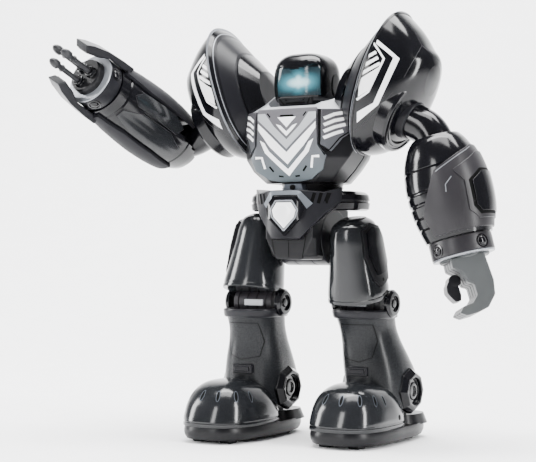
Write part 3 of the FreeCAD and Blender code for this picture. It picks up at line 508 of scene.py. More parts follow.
def pressed(name, shapes, material, body, slot="gloss_black", lift=0.12, thick=0.0, step=2.0, bevel=0.0,
            nodes=()):
    """Outlines, each with its plane or sleeve, pressed onto a surface as a print or as a raised plate."""
    whole = bmesh.new()
    for plane, outline in shapes:
        bm = grid_sheet(outline, step) if is_convex(outline) else triangle_sheet(outline, step)
        drawn = {vert: (vert.co.x, vert.co.y) for vert in bm.verts}
        rim = [edge.verts[:] for edge in bm.edges if edge.is_boundary]
        floor = {vert: whole.verts.new(plane.press(*place, lift)) for vert, place in drawn.items()}
        top = floor
        if thick:
            top = {vert: whole.verts.new(plane.press(*place, lift + thick))
                   for vert, place in drawn.items()}
            for p, q in rim:
                whole.faces.new((floor[p], floor[q], top[q], top[p]))
        for face in bm.faces:
            whole.faces.new([top[vert] for vert in face.verts])
        bm.free()
    return piece(name, whole, Matrix(), material, body, nodes, slot=slot, bevel=bevel, segments=2)


def on(plane, outlines):
    """Pairs each outline with one drawing plane."""
    return [(plane, outline) for outline in outlines]


def strip(points, width):
    """The outline of a line of some width through flat points."""
    left, right = [], []
    for i, point in enumerate(points):
        before = Vector(points[max(0, i - 1)])
        after = Vector(points[min(len(points) - 1, i + 1)])
        along = (after - before).normalized()
        across = Vector((-along.y, along.x)) * width / 2
        left.append(tuple(Vector(point) + across))
        right.append(tuple(Vector(point) - across))
    return left + list(reversed(right))


def closed_line(loop, width):
    """Strips along every side of a closed outline."""
    return [strip([a, b], width) for a, b in zip(loop, loop[1:] + loop[:1])]


def flipped(outline):
    """The mirror image of a flat outline about its upright axis."""
    return [(-u, v) for u, v in reversed(outline)]


def both(outlines):
    """Outlines with their mirror images."""
    return outlines + [flipped(outline) for outline in outlines]


def both_halves(half):
    """A closed outline from its right half, listed top to bottom."""
    return half + [(-u, v) for u, v in reversed(half) if abs(u) > 1e-6]


def oval(u, v, a, b, count=18):
    """A flat oval outline."""
    angles = [2 * math.pi * i / count for i in range(count)]
    return [(u + a * math.cos(angle), v + b * math.sin(angle)) for angle in angles]


# ---------------------------------------------------------------- trunk

TRUNK_LEVELS = [(243, 26, -31.5, 47), (216, 27, -32, 47), (208, 30, -31, 44), (199, 27, -29, 37),
                (190, 18, -25, 28)]
SEAM_GAP = 0.15


def trunk_ring(z, front_x, front_y, side_x):
    """Plan outline of the trunk at one height."""
    half = [(front_x, front_y), (side_x, front_y + 0.8 * (side_x - front_x)), (side_x + 1.5, 6),
            (side_x - 5, 22), (front_x, 29)]
    return [(x, y, z) for x, y in half + [(-x, y) for x, y in reversed(half)]]


def trunk_half(name, node_name, side):
    """One shell of the trunk, cut just short of the seam; side is 1 for the front and -1 for the back."""
    bm = bmesh.new()
    skin(bm, [trunk_ring(*level) for level in reversed(TRUNK_LEVELS)])
    cut = cut_away(bm, (0, -SEAM_GAP * side, 0), (0, side, 0))
    edges = [item for item in cut["geom_cut"] if isinstance(item, bmesh.types.BMEdge)]
    bmesh.ops.contextual_create(bm, geom=edges)
    return piece(name, bm, UNIT, "black_satin", "torso", [node_name], bevel=1.1)


def build_trunk():
    """Two trunk shells with the chest plates, the underside and the bracket at the waist."""
    front = trunk_half("trunk_front", "chest_front_shell", 1)
    rear = trunk_half("trunk_rear", "chest_rear_shell", -1)
    base = [(184.6, 0, 4, 20, 16), (185.2, 0, 4, 22.6, 18.2), (187.2, 0, 4, 23.4, 18.8),
            (187.6, 0, 4, 22.6, 18.2), (190.4, 0, 4, 24, 19)]
    skinned("trunk_base", ovals(base, 2.4, 48), UNIT, "black_satin", "torso", bevel=0.2)
    face = facing(tree_of(front))
    panel = both_halves([(0, 242.6), (25, 242.6), (25.8, 217), (30.8, 209), (27.6, 199.8), (18.4, 193.2),
                         (8, 191.4), (0, 191.4)])
    wing = [(26.9, 242.4), (46.2, 242.4), (46.2, 227), (39.5, 221.6), (33.4, 211.8), (27.2, 217)]
    plate = pressed("chest_plate", on(face, [panel]), "silver_plate", "torso", "silver_print", lift=0.1,
                    thick=2.6, step=3, bevel=0.5, nodes=["chest_panel"])
    wings = pressed("chest_wing_plates", on(face, both([wing])), "silver_plate", "torso", "silver_print",
                    lift=0.1, thick=2.2, step=3, bevel=0.5, nodes=["chest_wings"])
    print_chest(facing(tree_of(plate, wings)))
    bracket = [(-9, 183.8), (9, 183.8), (7, 189.6), (-7, 189.6)]
    prism("waist_bracket", bracket, -25.5, -17, UNIT, "silver_blue", "pelvis", slot="gunmetal", bevel=0.5)
    turned("waist_screw", [(-26.6, 0.8), (-26.4, 1.9), (-25.4, 2)], UNIT, "groove", "pelvis", axis="y",
           centre=(0, 186.8), count=24, slot="gunmetal")
    build_back(rear)


def print_chest(face):
    """White chevrons and stripes, a pale band, dark slots and seam lines on the chest."""
    white = both([[(0, 194.8), (18.5, 212), (22.8, 221.5), (18.8, 219.3), (15, 213.2), (0, 199.8)],
                  [(0, 203.4), (14.5, 216.6), (24.4, 229.2), (24.4, 233.8), (16, 226.6), (0, 212.2)],
                  [(0, 224), (5.5, 229), (9, 233), (5, 231.8), (0, 227.4)],
                  [(0, 230.4), (7.8, 238), (0, 238)],
                  strip([(19.8, 200.5), (21.6, 208.6), (27.2, 208.6)], 1.9)])
    for i in range(4):
        low = 234.6 - 4.7 * i
        white += both([strip([(29.9, low + 1.2), (36, low + 4.4), (45.2 - 1.4 * i, low + 6.4)], 2.3)])
    pale = both([[(0, 214.6), (15.5, 228.6), (24.8, 236.6), (24.8, 241), (18.5, 241), (11, 231.5),
                  (0, 221.6)]])
    dark = both([strip([(12.6, 198.2), (15.8, 202)], 1.5), strip([(14, 238.2), (16.6, 241.2)], 1),
                 strip([(5, 194.6), (9, 195)], 1.2),
                 strip([(25.2, 242.2), (26.2, 217.2), (31.3, 209.4)], 0.9),
                 strip([(33, 212.2), (39.2, 221.8), (46, 227.4)], 0.8)])
    dark.append([(-6.5, 238.2), (6.5, 238.2), (5.2, 239.6), (-5.2, 239.6)])
    for name, outlines, material, lift in (("chest_print", white, "white_print", 0.06),
                                           ("chest_band", pale, "pale_silver", 0.05),
                                           ("chest_slots", dark, "groove", 0.09)):
        pressed(name, on(face, outlines), material, "torso", "silver_print", lift=lift)


def finish_node(name, material):
    """A procedural material on a CAD node that is shown as it is."""
    shown = frame["nodes"][name]
    shown.data.materials.clear()
    shown.data.materials.append(MATERIALS[material])


def finish_plain_nodes():
    """Materials for the CAD nodes that no drawn piece replaces."""
    finishes = {"neck_collar": "pale_silver", "battery_door": "black_satin", "case_screws": "steel",
                "power_switch": "gunmetal", "neck_post": "black_satin", "waist_post": "black_satin",
                "battery_cells": "cell_wrap", "circuit_board": "board_green", "speaker": "black_satin",
                "hip_pins": "steel", "blaster_barrel": "black_satin"}
    for side in ("left", "right"):
        finishes[f"foot_sole_{side}"] = "black_satin"
        finishes[f"gear_motor_{side}"] = "steel"
        finishes[f"drive_wheels_{side}"] = "rubber"
    for name, material in finishes.items():
        finish_node(name, material)


def build_back(rear):
    """Ribs on the battery door and a speaker grille on each side of it."""
    door = facing(tree_of(frame["nodes"]["battery_door"]), -FRONT)
    ribs = [strip([(-17, 209 + 4.5 * i), (17, 209 + 4.5 * i)], 1.3) for i in range(4)]
    pressed("door_ribs", on(door, ribs), "gunmetal_dark", "torso", lift=0.05, thick=0.5, bevel=0.2)
    holes = [oval(first + 4 * i, 212 + 4 * j, 1.1, 1.1, count=10)
             for first in (-34, 26) for i in range(3) for j in range(4)]
    pressed("speaker_grille", on(facing(tree_of(rear), -FRONT), holes), "groove", "torso", lift=0.08)


# ---------------------------------------------------------------- pelvis

PELVIS_LEVELS = {
    133.5: ((-10, -31), (10, -31), (17, -18), (17, 20), (-17, 20), (-17, -18)),
    136.5: ((-13, -31.3), (13, -31.3), (19.5, -23), (19.5, 23.5), (-19.5, 23.5), (-19.5, -23)),
    150: ((-20, -31.4), (20, -31.4), (20, -25.5), (20, 24), (-20, 24), (-20, -25.5)),
    171: ((-19.8, -31.4), (19.8, -31.4), (20, -25.8), (20, 24), (-20, 24), (-20, -25.8)),
}


def build_pelvis():
    """Boxy core, the drum between the hips, the tray above them and the belt shield."""
    core = skinned("pelvis_core", [[(x, y, z) for x, y in plan] for z, plan in PELVIS_LEVELS.items()], UNIT,
                   "black_satin", "pelvis", ["pelvis_front_shell", "pelvis_rear_shell"], bevel=1.0)
    seams = both([strip([(11.5, 134.2), (14.5, 150), (13.5, 160)], 0.7)])
    seams.append(strip([(0, 134), (0, 149)], 0.6))
    pressed("pelvis_seams", on(facing(tree_of(core)), seams), "groove", "pelvis", lift=0.08)
    hip = joint_point("hip_left")
    drum = [(6.8, 21), (7.4, 20.4), (8, 21), (19, 21), (20.2, 20.2), (20.2, 15)]
    turned("hip_drum", [(-x, radius) for x, radius in reversed(drum)] + drum, UNIT, "gunmetal_dark", "pelvis",
           axis="x", centre=(hip.y, hip.z), count=72, bevel=0.3)
    tray = [(169.5, 0, 0, 44, 20), (170.6, 0, 0, 46.4, 20.8), (175, 0, 0, 47.1, 21),
            (175.6, 0, 0, 46.2, 20.2), (176.4, 0, 0, 46.2, 20.2), (177, 0, 0, 46.9, 21), (181, 0, 0, 46, 21),
            (183, 0, 0, 43.5, 20.2), (183.9, 0, 0, 40, 19)]
    skinned("hip_tray", ovals(tray, 3.2, 64), UNIT, "black", "pelvis", bevel=0.3)
    build_belt()


def build_belt():
    """V-shaped shield with a bezel, silver lines, vents and a clear lens."""
    outer = [(37, -17), (28, -27.5), (12, -36)]
    inner = [(10.5, -32), (25.5, -24), (33.5, -14.5)]
    plan = outer + [(-x, y) for x, y in reversed(inner + outer)] + inner
    top = {37: 186.5, 28: 182.5, 12: 184.5, 10.5: 184.5, 25.5: 182.5, 33.5: 185.5}
    low = {37: 176, 28: 167, 12: 148.5, 10.5: 148.5, 25.5: 166, 33.5: 175}
    rings = [[(x, y, level[abs(x)]) for x, y in plan] for level in (low, top)]
    shield = skinned("belt_shield", rings, UNIT, "gunmetal_dark", "pelvis", ["belt_guard"], slot="gunmetal",
                     bevel=0.7)
    face = facing(tree_of(shield), reach=40)
    patch = both_halves([(0, 184.8), (11.2, 184.8), (20.5, 174.5), (16.5, 170.6), (10.2, 180.9), (0, 180.9)])
    pressed("belt_patch", on(face, [patch]), "silver", "pelvis", "gunmetal", lift=0.1, thick=0.6, step=3,
            bevel=0.2)
    bezel = both_halves([(0, 179.6), (9.4, 179.6), (15.6, 170.6), (13.2, 163.6), (0, 150.8)])
    ring = pressed("belt_bezel", on(face, [bezel]), "black", "pelvis", "gunmetal", lift=0.0, thick=2.3,
                   step=2.5, bevel=0.5)
    middle = 167.0
    loop = [(u * 0.74, middle + (v - middle) * 0.76) for u, v in bezel]
    pressed("belt_lines", on(facing(tree_of(ring), reach=40), closed_line(loop, 1.1)), "seam_line", "pelvis",
            "silver_print", lift=0.08, thick=0.3)
    slots = both([strip([(21.6 + 4.4 * i, 182.2), (19.6 + 4.4 * i, 174.6)], 2.2) for i in range(3)])
    pressed("belt_vents", on(face, slots), "groove", "pelvis", "gunmetal", lift=0.12)
    shape = both_halves([(0, 175.4), (6.2, 175.4), (10.2, 169.7), (8.6, 164.6), (0, 156.3)])
    rings = [[(u * share, y, middle + (v - middle) * share) for u, v in shape]
             for share, y in ((1, -36.2), (1, -38.6), (0.7, -40.1))]
    skinned("belt_lens", rings, UNIT, "lens", "pelvis", ["emblem_lens"], slot="smoked_clear", bevel=0.25)


# ---------------------------------------------------------------- head

HEAD_LEVELS = [(250.5, -4.5, 19.6, 17.6), (252.5, -4.3, 21, 18.9), (255, -4.2, 21.6, 19.6),
               (265, -4, 22.2, 20.4), (275, -4, 21.6, 19.8), (281.5, -4, 18.8, 17.3), (285.8, -4, 13, 12.5),
               (287.4, -4, 5, 5)]
SMALLEST = 0.5


def head_rings(grow):
    """Level rings of the head, moved in or out by grow."""
    levels = [(z, 0, cy, max(SMALLEST, a + grow), max(SMALLEST, b + grow))
              for z, cy, a, b in smooth_stations(HEAD_LEVELS, 9)]
    return ovals(levels, 3.6, 160)


def in_window(point):
    """True for the part of the head that the clear visor covers: a window under a dipping brow."""
    brow = 277.5 - 4.0 * max(0, 1 - abs(point.x) / 15)
    return point.y < -10.5 and 254.2 < point.z < brow and abs(point.x) < 20.2


def build_head():
    """Helmet with a window, the clear visor, the lit panel behind it, a jaw and ear pads."""
    bm = bmesh.new()
    skin(bm, head_rings(0))
    window = [face for face in bm.faces if in_window(face.calc_center_median())]
    bmesh.ops.delete(bm, geom=window, context="FACES")
    bmesh.ops.solidify(bm, geom=bm.faces[:], thickness=1.6)
    shell = piece("helmet", bm, UNIT, "black", "head", ["helmet_shell"])
    bm = bmesh.new()
    skin(bm, head_rings(-0.5))
    rest = [face for face in bm.faces
            if face.calc_center_median().y > -8.5 or face.calc_center_median().z < 253]
    bmesh.ops.delete(bm, geom=rest, context="FACES")
    piece("visor_clear", bm, UNIT, "smoked", "head", ["visor"], slot="smoked_clear")
    panel = [(-18.5, 254.5), (18.5, 254.5), (19.5, 264), (18, 276), (-18, 276), (-19.5, 264)]
    prism("eye_plate", panel, -15.5, -13.5, UNIT, "eye_light", "head", ["eye_panel"], slot="eye_light",
          bevel=0.6)
    jaw = prism("jaw", [(-20.8, 247.8), (8, 247.8), (8, 253.2), (-23.3, 253.2)], -14.5, 14.5, UNIT,
                "black_satin", "head", axis="x", bevel=0.9)
    slots = [strip([(-8, z), (8, z)], 0.9) for z in (249.4, 251.4)]
    slots += both([strip([(10, 248.4), (13, 252.6)], 1)])
    pressed("jaw_vents", on(facing(tree_of(jaw), reach=20), slots), "groove", "head", lift=0.08)
    surface = tree_of(shell)
    ear = oval(4, 263, 5.6, 8.2)
    ears = [(Plane(UNIT, (22, -4, 0), (1, 0, 0), UP, surface), ear),
            (Plane(UNIT, (-22, -4, 0), (-1, 0, 0), UP, surface), flipped(ear))]
    pressed("ear_pads", ears, "gunmetal_dark", "head", lift=0.02, thick=0.7, step=1.5, bevel=0.3)


# ---------------------------------------------------------------- cowls

COWL_OUTER = [(0.15, -0.5, 38, 53.5), (8, -1.5, 37, 50.5), (17, -1.3, 34, 44.8), (27, 0.5, 29, 34.5),
              (34, 8, 20, 22), (37.5, 12, 10, 11)]
COWL_INNER = [(-27, -13, 16, 19), (-20, -9, 22, 27), (-13, -6, 28, 36), (-6, -2.5, 33, 45),
              (-0.15, -0.5, 36.5, 52)]
OUTER_STATIONS = smooth_stations(COWL_OUTER, 8)
INNER_STATIONS = smooth_stations(COWL_INNER, 16)


def cowl_rings(stations, grow=0.0):
    """Upright rings across a cowl from (distance outward, centre height, half depth, half height)."""
    return [[(u, y, v + z) for y, z in superellipse(a + grow, b + grow, 2.25, 96)] for u, v, a, b in stations]


def grooved(stations, grooves, reach, depth):
    """Stations let in by depth wherever they are within reach of a groove."""
    result = []
    for *place, a, b in stations:
        inset = depth if any(abs(place[0] - groove) < reach for groove in grooves) else 0
        result.append((*place, a - inset, b - inset))
    return result


def build_cowl(side):
    """Domed outside, conical inside with a hub, bands along the seam, the shoulder socket and the print."""
    matrix = cowl_frame(side)
    dome = skinned(f"cowl_dome_{side}", cowl_rings(OUTER_STATIONS), matrix, "black", "torso",
                   [f"cowl_outer_{side}"], caps=(False, True))
    inside = grooved(INNER_STATIONS, (-4.2, -15.5), 0.65, 1.3)
    cone = [station for station in inside if station[0] > -16.4]
    hub = [station for station in inside if station[0] < -16.2]
    skinned(f"cowl_cone_{side}", cowl_rings(cone), matrix, "gunmetal_dark", "torso", [f"cowl_inner_{side}"],
            caps=(False, False), slot="gunmetal")
    skinned(f"cowl_hub_{side}", cowl_rings(hub, 0.9), matrix, "black", "torso", caps=(True, False))
    add_rim(f"cowl_band_{side}", matrix, "black", -2.6, 1.6, 0.5)
    add_rim(f"cowl_line_{side}", matrix, "seam_line", -0.35, 0.35, 0.9)
    add_rim(f"cowl_inner_line_{side}", matrix, "seam_line", -3.1, -2.5, 0.2)
    point, out, down = shoulder_directions(side)
    socket = [(-6, 19.8), (3.2, 19.8), (4.4, 20.6), (4.4, 22.2), (3.6, 22.8), (3.6, 24.2), (4.6, 24.8),
              (4.2, 26.4), (2.4, 27.6), (-6, 27.6)]
    turned(f"cowl_socket_{side}", socket, frame_of(point, down, out.cross(down), out), "black", "torso",
           count=72, bevel=0.25)
    print_cowl(side, tree_of(dome))


def add_rim(name, matrix, material, low, high, lift):
    """A band around the seam, following the outer and inner cowl."""
    here = [station for station in sorted(OUTER_STATIONS + INNER_STATIONS) if low < station[0] < high]
    ends = [(low, *here[0][1:]), (high, *here[-1][1:])]
    start, end = cowl_rings(ends, -0.4)
    skinned(name, [start] + cowl_rings(here, lift) + [end], matrix, material, "torso", caps=(False, False),
            slot="gunmetal", bevel=0.15)


def print_cowl(side, surface):
    """White chevron, hatching and seam lines on the outer cowl."""
    marks = [
        strip([(42.6, 291), (52, 275.4), (41, 252.4), (33, 247.2)], 1.5),
        [(46.6, 286.6), (58.6, 276), (44.6, 244.6), (33.4, 238.6), (33.4, 231.4), (42, 238.4),
         (48, 243.2), (63, 275.4), (47.6, 289.4)],
        [(35, 261.5), (48.6, 269.6), (41, 253.4), (34, 249.2)],
    ]
    marks += [strip([(35.4, 274.4 - 4.7 * i), (46.6 + 1.3 * i, 280.4 - 4.1 * i)], 2.2) for i in range(3)]
    lines = [strip([(70.5, 306), (79.5, 286), (71.5, 272), (66, 262)], 0.5),
             strip([(79.5, 286), (93, 276)], 0.5), strip([(31.5, 226), (45, 236), (58, 252)], 0.5)]
    view = QUARTER
    if side == "right":
        view = Vector((-QUARTER.x, QUARTER.y, 0))
        marks, lines = [[flipped(outline) for outline in group] for group in (marks, lines)]
    plane = Plane(UNIT, (0, 0, 0), view, UP, surface)
    pressed(f"cowl_print_{side}", on(plane, marks), "white_print", "torso", lift=0.1, step=2.2)
    pressed(f"cowl_seams_{side}", on(plane, lines), "gunmetal", "torso", lift=0.06)


# ---------------------------------------------------------------- arms

FOREARM_LEVELS = [(-9, 17.5, 17.5), (-4, 21, 21), (6, 25.5, 25), (18, 28, 27.5), (30, 28.8, 28), (44, 28, 27),
                  (56, 25.5, 25), (64, 23.3, 23)]
BLASTER_LEVELS = [(-12, 16.8, 16.8), (-5, 19.5, 19.5), (8, 22.3, 22.3), (25, 23.6, 23.6), (41, 23.8, 23.8),
                  (60, 22.8, 22.8), (77, 21.2, 21.2), (88, 20, 20)]
TUBE_LEAD, TUBE_TAIL, TUBE_RADIUS = 17.0, 5.0, 13.0
TUBE_BEND, TUBE_BEND_RADIUS = math.radians(48), 22.0


def tube_stations():
    """Places along the bent tube of an upper arm: distance outward, distance sideways, and heading."""
    stations = [(2.5 + 2.0 * i, 0, 0) for i in range(8)]
    for i in range(13):
        angle = TUBE_BEND * i / 12
        stations.append((TUBE_LEAD + TUBE_BEND_RADIUS * math.sin(angle),
                         TUBE_BEND_RADIUS * (1 - math.cos(angle)), angle))
    out, aside, _ = stations[-1]
    for i in range(1, 4):
        reach = TUBE_TAIL * i / 3
        stations.append((out + reach * math.cos(TUBE_BEND), aside + reach * math.sin(TUBE_BEND), TUBE_BEND))
    return stations


def build_upper_arm(side):
    """Bent tube with a shoulder collar."""
    point, out, down = shoulder_directions(side)
    body = f"upper_arm_{side}"
    matrix = frame_of(point, down, out.cross(down), out)
    circle = superellipse(TUBE_RADIUS, TUBE_RADIUS, 2, 48)
    rings = [[(aside + x * math.cos(heading), y, w - x * math.sin(heading)) for x, y in circle]
             for w, aside, heading in tube_stations()]
    skinned(f"arm_tube_{side}", rings, matrix, "black", body, [f"upper_arm_{side}"])
    collar = [(-3.8, 8), (-3.8, 17.8), (2.4, 17.8), (3.2, 17.2), (3.2, 15.6), (8.6, 14.4), (9.4, 14.4),
              (10.2, 13.8), (10.2, 12.5)]
    turned(f"arm_collar_{side}", collar, matrix, "gunmetal_dark", body, count=64, bevel=0.3)


def build_barrel(name, levels, matrix, body, node_name, flex, grooves):
    """A forearm's barrel, open at the elbow towards the side that it bends to, up to the height flex."""
    stations = grooved(smooth_stations(levels, 14), grooves, 0.6, 0.9)
    bm = bmesh.new()
    skin(bm, ovals([(w, 0, 0, a, b) for w, a, b in stations], SLEEVE_POWER, 72), cap_start=False)
    opening = []
    for face in bm.faces:
        centre = face.calc_center_median()
        if centre.x > 4 and abs(centre.y) < 14.5 and centre.z < flex:
            opening.append(face)
    bmesh.ops.delete(bm, geom=opening, context="FACES")
    bmesh.ops.solidify(bm, geom=bm.faces[:], thickness=1.8)
    return piece(name, bm, matrix, "black", body, [node_name])


def build_cuff(name, matrix, body, node_name, radius, low, turn, material):
    """Cuff ring with domed studs in round recesses, starting at the height low."""
    high = low + 13.7
    ring = [(low + 0.2, radius - 4), (low + 0.2, radius - 0.4), (low + 1.2, radius), (high - 1.8, radius),
            (high - 1.5, radius - 0.5), (high - 0.2, radius - 0.8), (high - 0.2, radius - 2.6),
            (high - 3, radius - 2.8), (high - 3, 8.2)]
    lip = [(high - 1.4, radius - 0.4), (high - 0.9, radius), (high - 0.1, radius - 0.3), (high, radius - 1.3)]
    stud = [(-0.6, 4.9), (0.9, 4.9), (1, 4), (0.2, 3.9), (0.2, 3.4), (1.2, 3.1), (2, 2), (2.2, 0.6)]
    turned(name, ring, matrix, material, body, [node_name], count=72, slot="gunmetal", bevel=0.25)
    turned(f"{name}_lip", lip, matrix, "seam_line", body, count=72, slot="gunmetal")
    for i in range(4):
        spot = Matrix.Rotation(math.radians(90 * i + turn), 4, "Z")
        spot @= Matrix.Translation((radius - 0.8, 0, (low + high) / 2))
        spot @= Matrix(((0, 0, 1, 0), (1, 0, 0, 0), (0, 1, 0, 0), (0, 0, 0, 1)))
        turned(f"{name}_stud_{i}", stud, matrix @ spot, "black", body, count=32, slot="gunmetal")


def build_left_forearm():
    """Ribbed barrel under a stepped armour cover with a glossy inset."""
    matrix = forearm_frame("left")
    body = "forearm_left"
    build_barrel("forearm_barrel", FOREARM_LEVELS, matrix, body, "forearm_shell_left", 6,
                 (13.5, 29.5, 37.5, 46.5, 54.5))
    build_cuff("forearm_cuff", matrix, body, "wrist_cuff_left", 22.5, 64.3, 25, "gunmetal")
    sleeve = Wrap(matrix, FOREARM_LEVELS, QUARTER, -joint_axis("wrist_left"))
    cover = [(-8, 17), (10, 8), (24, 2.5), (44, 2.5), (66, 10), (70, 30), (66, 61.5), (-20, 61.5), (-23, 46),
             (-13, 41), (-12.5, 37), (-8, 28)]
    pressed("forearm_cover", on(sleeve, [cover]), "gunmetal", body, "gunmetal", lift=0.1, thick=1.2, step=2.5,
            bevel=0.35, nodes=["forearm_armour_left"])
    band = [(3, 20), (24, 8.5), (42, 7), (62, 14), (65, 56), (14, 56), (7.5, 49.5), (8, 29)]
    pressed("forearm_band", on(sleeve, [band]), "gunmetal", body, "gunmetal", lift=1.2, thick=0.9, step=2.5,
            bevel=0.35)
    well = [(10.5, 29), (20.5, 21.5), (36, 21), (52, 25), (50, 54), (15, 53.4), (10.5, 47.5)]
    inset = [(12.5, 30), (21.2, 23.4), (36, 22.8), (50, 26.4), (48.4, 52), (16, 51.4), (12.5, 46.5)]
    pressed("forearm_well", on(sleeve, [well]), "groove", body, "gunmetal", lift=2.15, step=2.5)
    pressed("forearm_inset", on(sleeve, [inset]), "black", body, lift=2.15, thick=0.8, step=2.5, bevel=0.3)
    lines = [strip([(-3.6, 34), (-3, 29), (1.4, 24.4)], 0.55),
             strip([(-7, 18.4), (10, 9.8), (22, 4.6)], 0.5)]
    pressed("forearm_lines", on(sleeve, lines), "seam_line", body, "gunmetal", lift=1.34)


def build_blaster():
    """Launcher forearm: glossy inset panels between two broad rails that run on as prongs."""
    matrix = forearm_frame("right")
    build_barrel("launcher_barrel", BLASTER_LEVELS, matrix, "blaster", "blaster_shell", 30, (6, 79))
    build_cuff("launcher_cuff", matrix, "blaster", "blaster_cuff", 19.5, 88.3, 190, "gunmetal_dark")
    sleeve = Wrap(matrix, BLASTER_LEVELS, QUARTER, joint_axis("dart_1_slide"))
    panels = [[(-15, 20), (-10, 12), (-2, 13), (4, 30), (3, 60), (-4, 77), (-12, 77), (-16, 55)],
              [(6, 24), (14, 18), (20, 30), (19, 66), (12, 74), (6, 68)]]
    frames = closed_line(panels[0], 0.9) + closed_line(panels[1], 0.9)
    pressed("launcher_panels", on(sleeve, panels), "slate", "blaster", lift=0.05, thick=0.9, step=1.3,
            bevel=0.3)
    pressed("launcher_frames", on(sleeve, frames), "gunmetal", "blaster", "gunmetal", lift=0.15, thick=0.3)
    build_rails(matrix, sleeve)
    build_muzzle(matrix)
    for number in (1, 2, 3):
        build_dart(number, matrix)


def build_rails(matrix, sleeve):
    """Two broad rails with slots, each running on as a prong with a dark inner face."""
    rails = [[(23, 2), (50, 2), (53, 30), (52, 60), (47, 85), (27, 85), (22, 60), (21, 30)],
             [(-50, 2), (-20, 2), (-18, 30), (-19, 60), (-24, 85), (-44, 85), (-50, 60), (-52, 30)]]
    pressed("launcher_rails", on(sleeve, rails), "rail_grey", "blaster", "gunmetal", lift=0.1, thick=2.4,
            step=2.5, bevel=0.5, nodes=["blaster_rails"])
    slots = [strip([(u, w), (u, w + 6)], 2.4) for u in (40, -40) for w in (14, 30, 62)]
    pressed("launcher_slots", on(sleeve, slots), "groove", "blaster", "gunmetal", lift=2.56)
    prong = [(19.7, 80), (25.3, 80), (25, 92), (23.6, 108), (20.4, 121), (17.4, 127.8), (12.8, 123.5),
             (15.8, 112), (19.7, 103.5)]
    mouth = [(12.5, 122.4), (15.6, 111), (19.3, 104), (20.5, 108), (16.6, 126)]
    for number, angle in enumerate((145, 325)):
        turn = matrix @ Matrix.Rotation(math.radians(angle), 4, "Z")
        prism(f"launcher_prong_{number}", prong, -8, 8, turn, "gunmetal_dark", "blaster", slot="gunmetal",
              bevel=0.9)
        prism(f"launcher_mouth_{number}", mouth, -6, 6, turn, "groove", "blaster", slot="gunmetal", bevel=0.3)


def build_muzzle(matrix):
    """Rings on the front of the launcher block, and a collar around each dart."""
    rings = [(90, 16.4), (92, 16.4), (92.5, 15.6), (93.5, 15.6), (94, 16), (96, 16), (96.5, 15),
             (101, 14.6), (101.5, 13.6), (106.5, 13.2), (107.5, 12.4), (107.8, 5)]
    turned("muzzle_rings", rings, matrix, "black_satin", "blaster", count=64, bevel=0.2)
    collar = [(104, 4.4), (108.6, 4.4), (109, 4), (109.6, 4), (110, 4.2), (110.8, 4.2), (111.2, 3.6),
              (111.2, 2.4)]
    for number in (1, 2, 3):
        turned(f"muzzle_collar_{number}", collar, matrix, "black", "blaster", count=32,
               centre=dart_centre(number), bevel=0.15)


def dart_centre(number):
    """Centre of one dart around the launcher's axis."""
    angle = math.radians(20 + 120 * (number - 1))
    return 6.5 * math.cos(angle), 6.5 * math.sin(angle)


def build_dart(number, matrix):
    """Thin ribbed shaft with a bulb tip, as long as the dart's CAD node."""
    inverse = matrix.inverted()
    along = [(inverse @ vert.co).z for vert in frame["nodes"][f"dart_{number}"].data.vertices]
    low, high = min(along), max(along)
    profile = [(low, 1.2), (low + 0.6, 2)]
    profile += [(high - back, radius) for back, radius in (
        (14, 2), (13.4, 2.7), (12.4, 2.7), (11.8, 1.9), (9.6, 2), (8, 3.2), (5, 3.35), (2.4, 2.6),
        (0.8, 1.6), (0, 0.7))]
    turned(f"dart_body_{number}", profile, matrix, "dart_grey", f"dart_{number}", [f"dart_{number}"],
           count=28, centre=dart_centre(number), slot="dart_foam")


def build_hand():
    """Satin hand in four curled slabs, and a dark thumb."""
    matrix = forearm_frame("left") @ Matrix.Rotation(math.radians(-35), 4, "Z")
    finger = [(13, 78.8), (-11, 78.8), (-13, 99), (-11.6, 109), (-5, 116.8), (3, 118.8), (11, 119.4),
              (15.3, 116.5), (12, 112.6), (5, 111.6), (0.6, 107), (1, 99), (5, 97), (6.2, 91), (9, 88),
              (13, 85)]
    for number, (near, far) in enumerate(((-17, -8.9), (-8.4, -0.3), (0.3, 8.4), (8.9, 17))):
        prism(f"finger_{number}", finger, near, far, matrix, "hand_grey", "hand_left",
              ["hand_left"] if number == 0 else [], slot="satin_hand", bevel=0.9)
    plug = [(66.8, 7), (66.8, 17.9), (79.2, 17.9), (80, 17.2), (80, 6)]
    turned("wrist_plug", plug, matrix, "hand_grey", "hand_left", count=64, slot="satin_hand", bevel=0.3)
    palm = [(-9.5, 80), (9, 80), (7.4, 90), (3, 96.5), (-1.4, 100), (-1.2, 106), (-10, 106), (-11, 98)]
    prism("palm_core", palm, -16.2, 16.2, matrix, "hand_grey", "hand_left", slot="satin_hand", bevel=0.6)
    thumb = [(15.4, 91.5), (18.6, 96), (19, 100.4), (17.2, 104), (14.6, 107.9), (10.8, 107.9), (9.7, 104),
             (10.1, 97), (12, 92)]
    prism("thumb_digit", thumb, -7.4, 7.4, matrix, "black_satin", "thumb_left", ["thumb_left"],
          slot="matte_black", bevel=0.8)
    turned("thumb_knuckle", [(-7.5, 3.6), (-7.2, 4.4), (7.2, 4.4), (7.5, 3.6)], matrix, "black_satin",
           "thumb_left", count=32, centre=(12, 93.5), axis="y", slot="matte_black", bevel=0.2)


# ---------------------------------------------------------------- legs

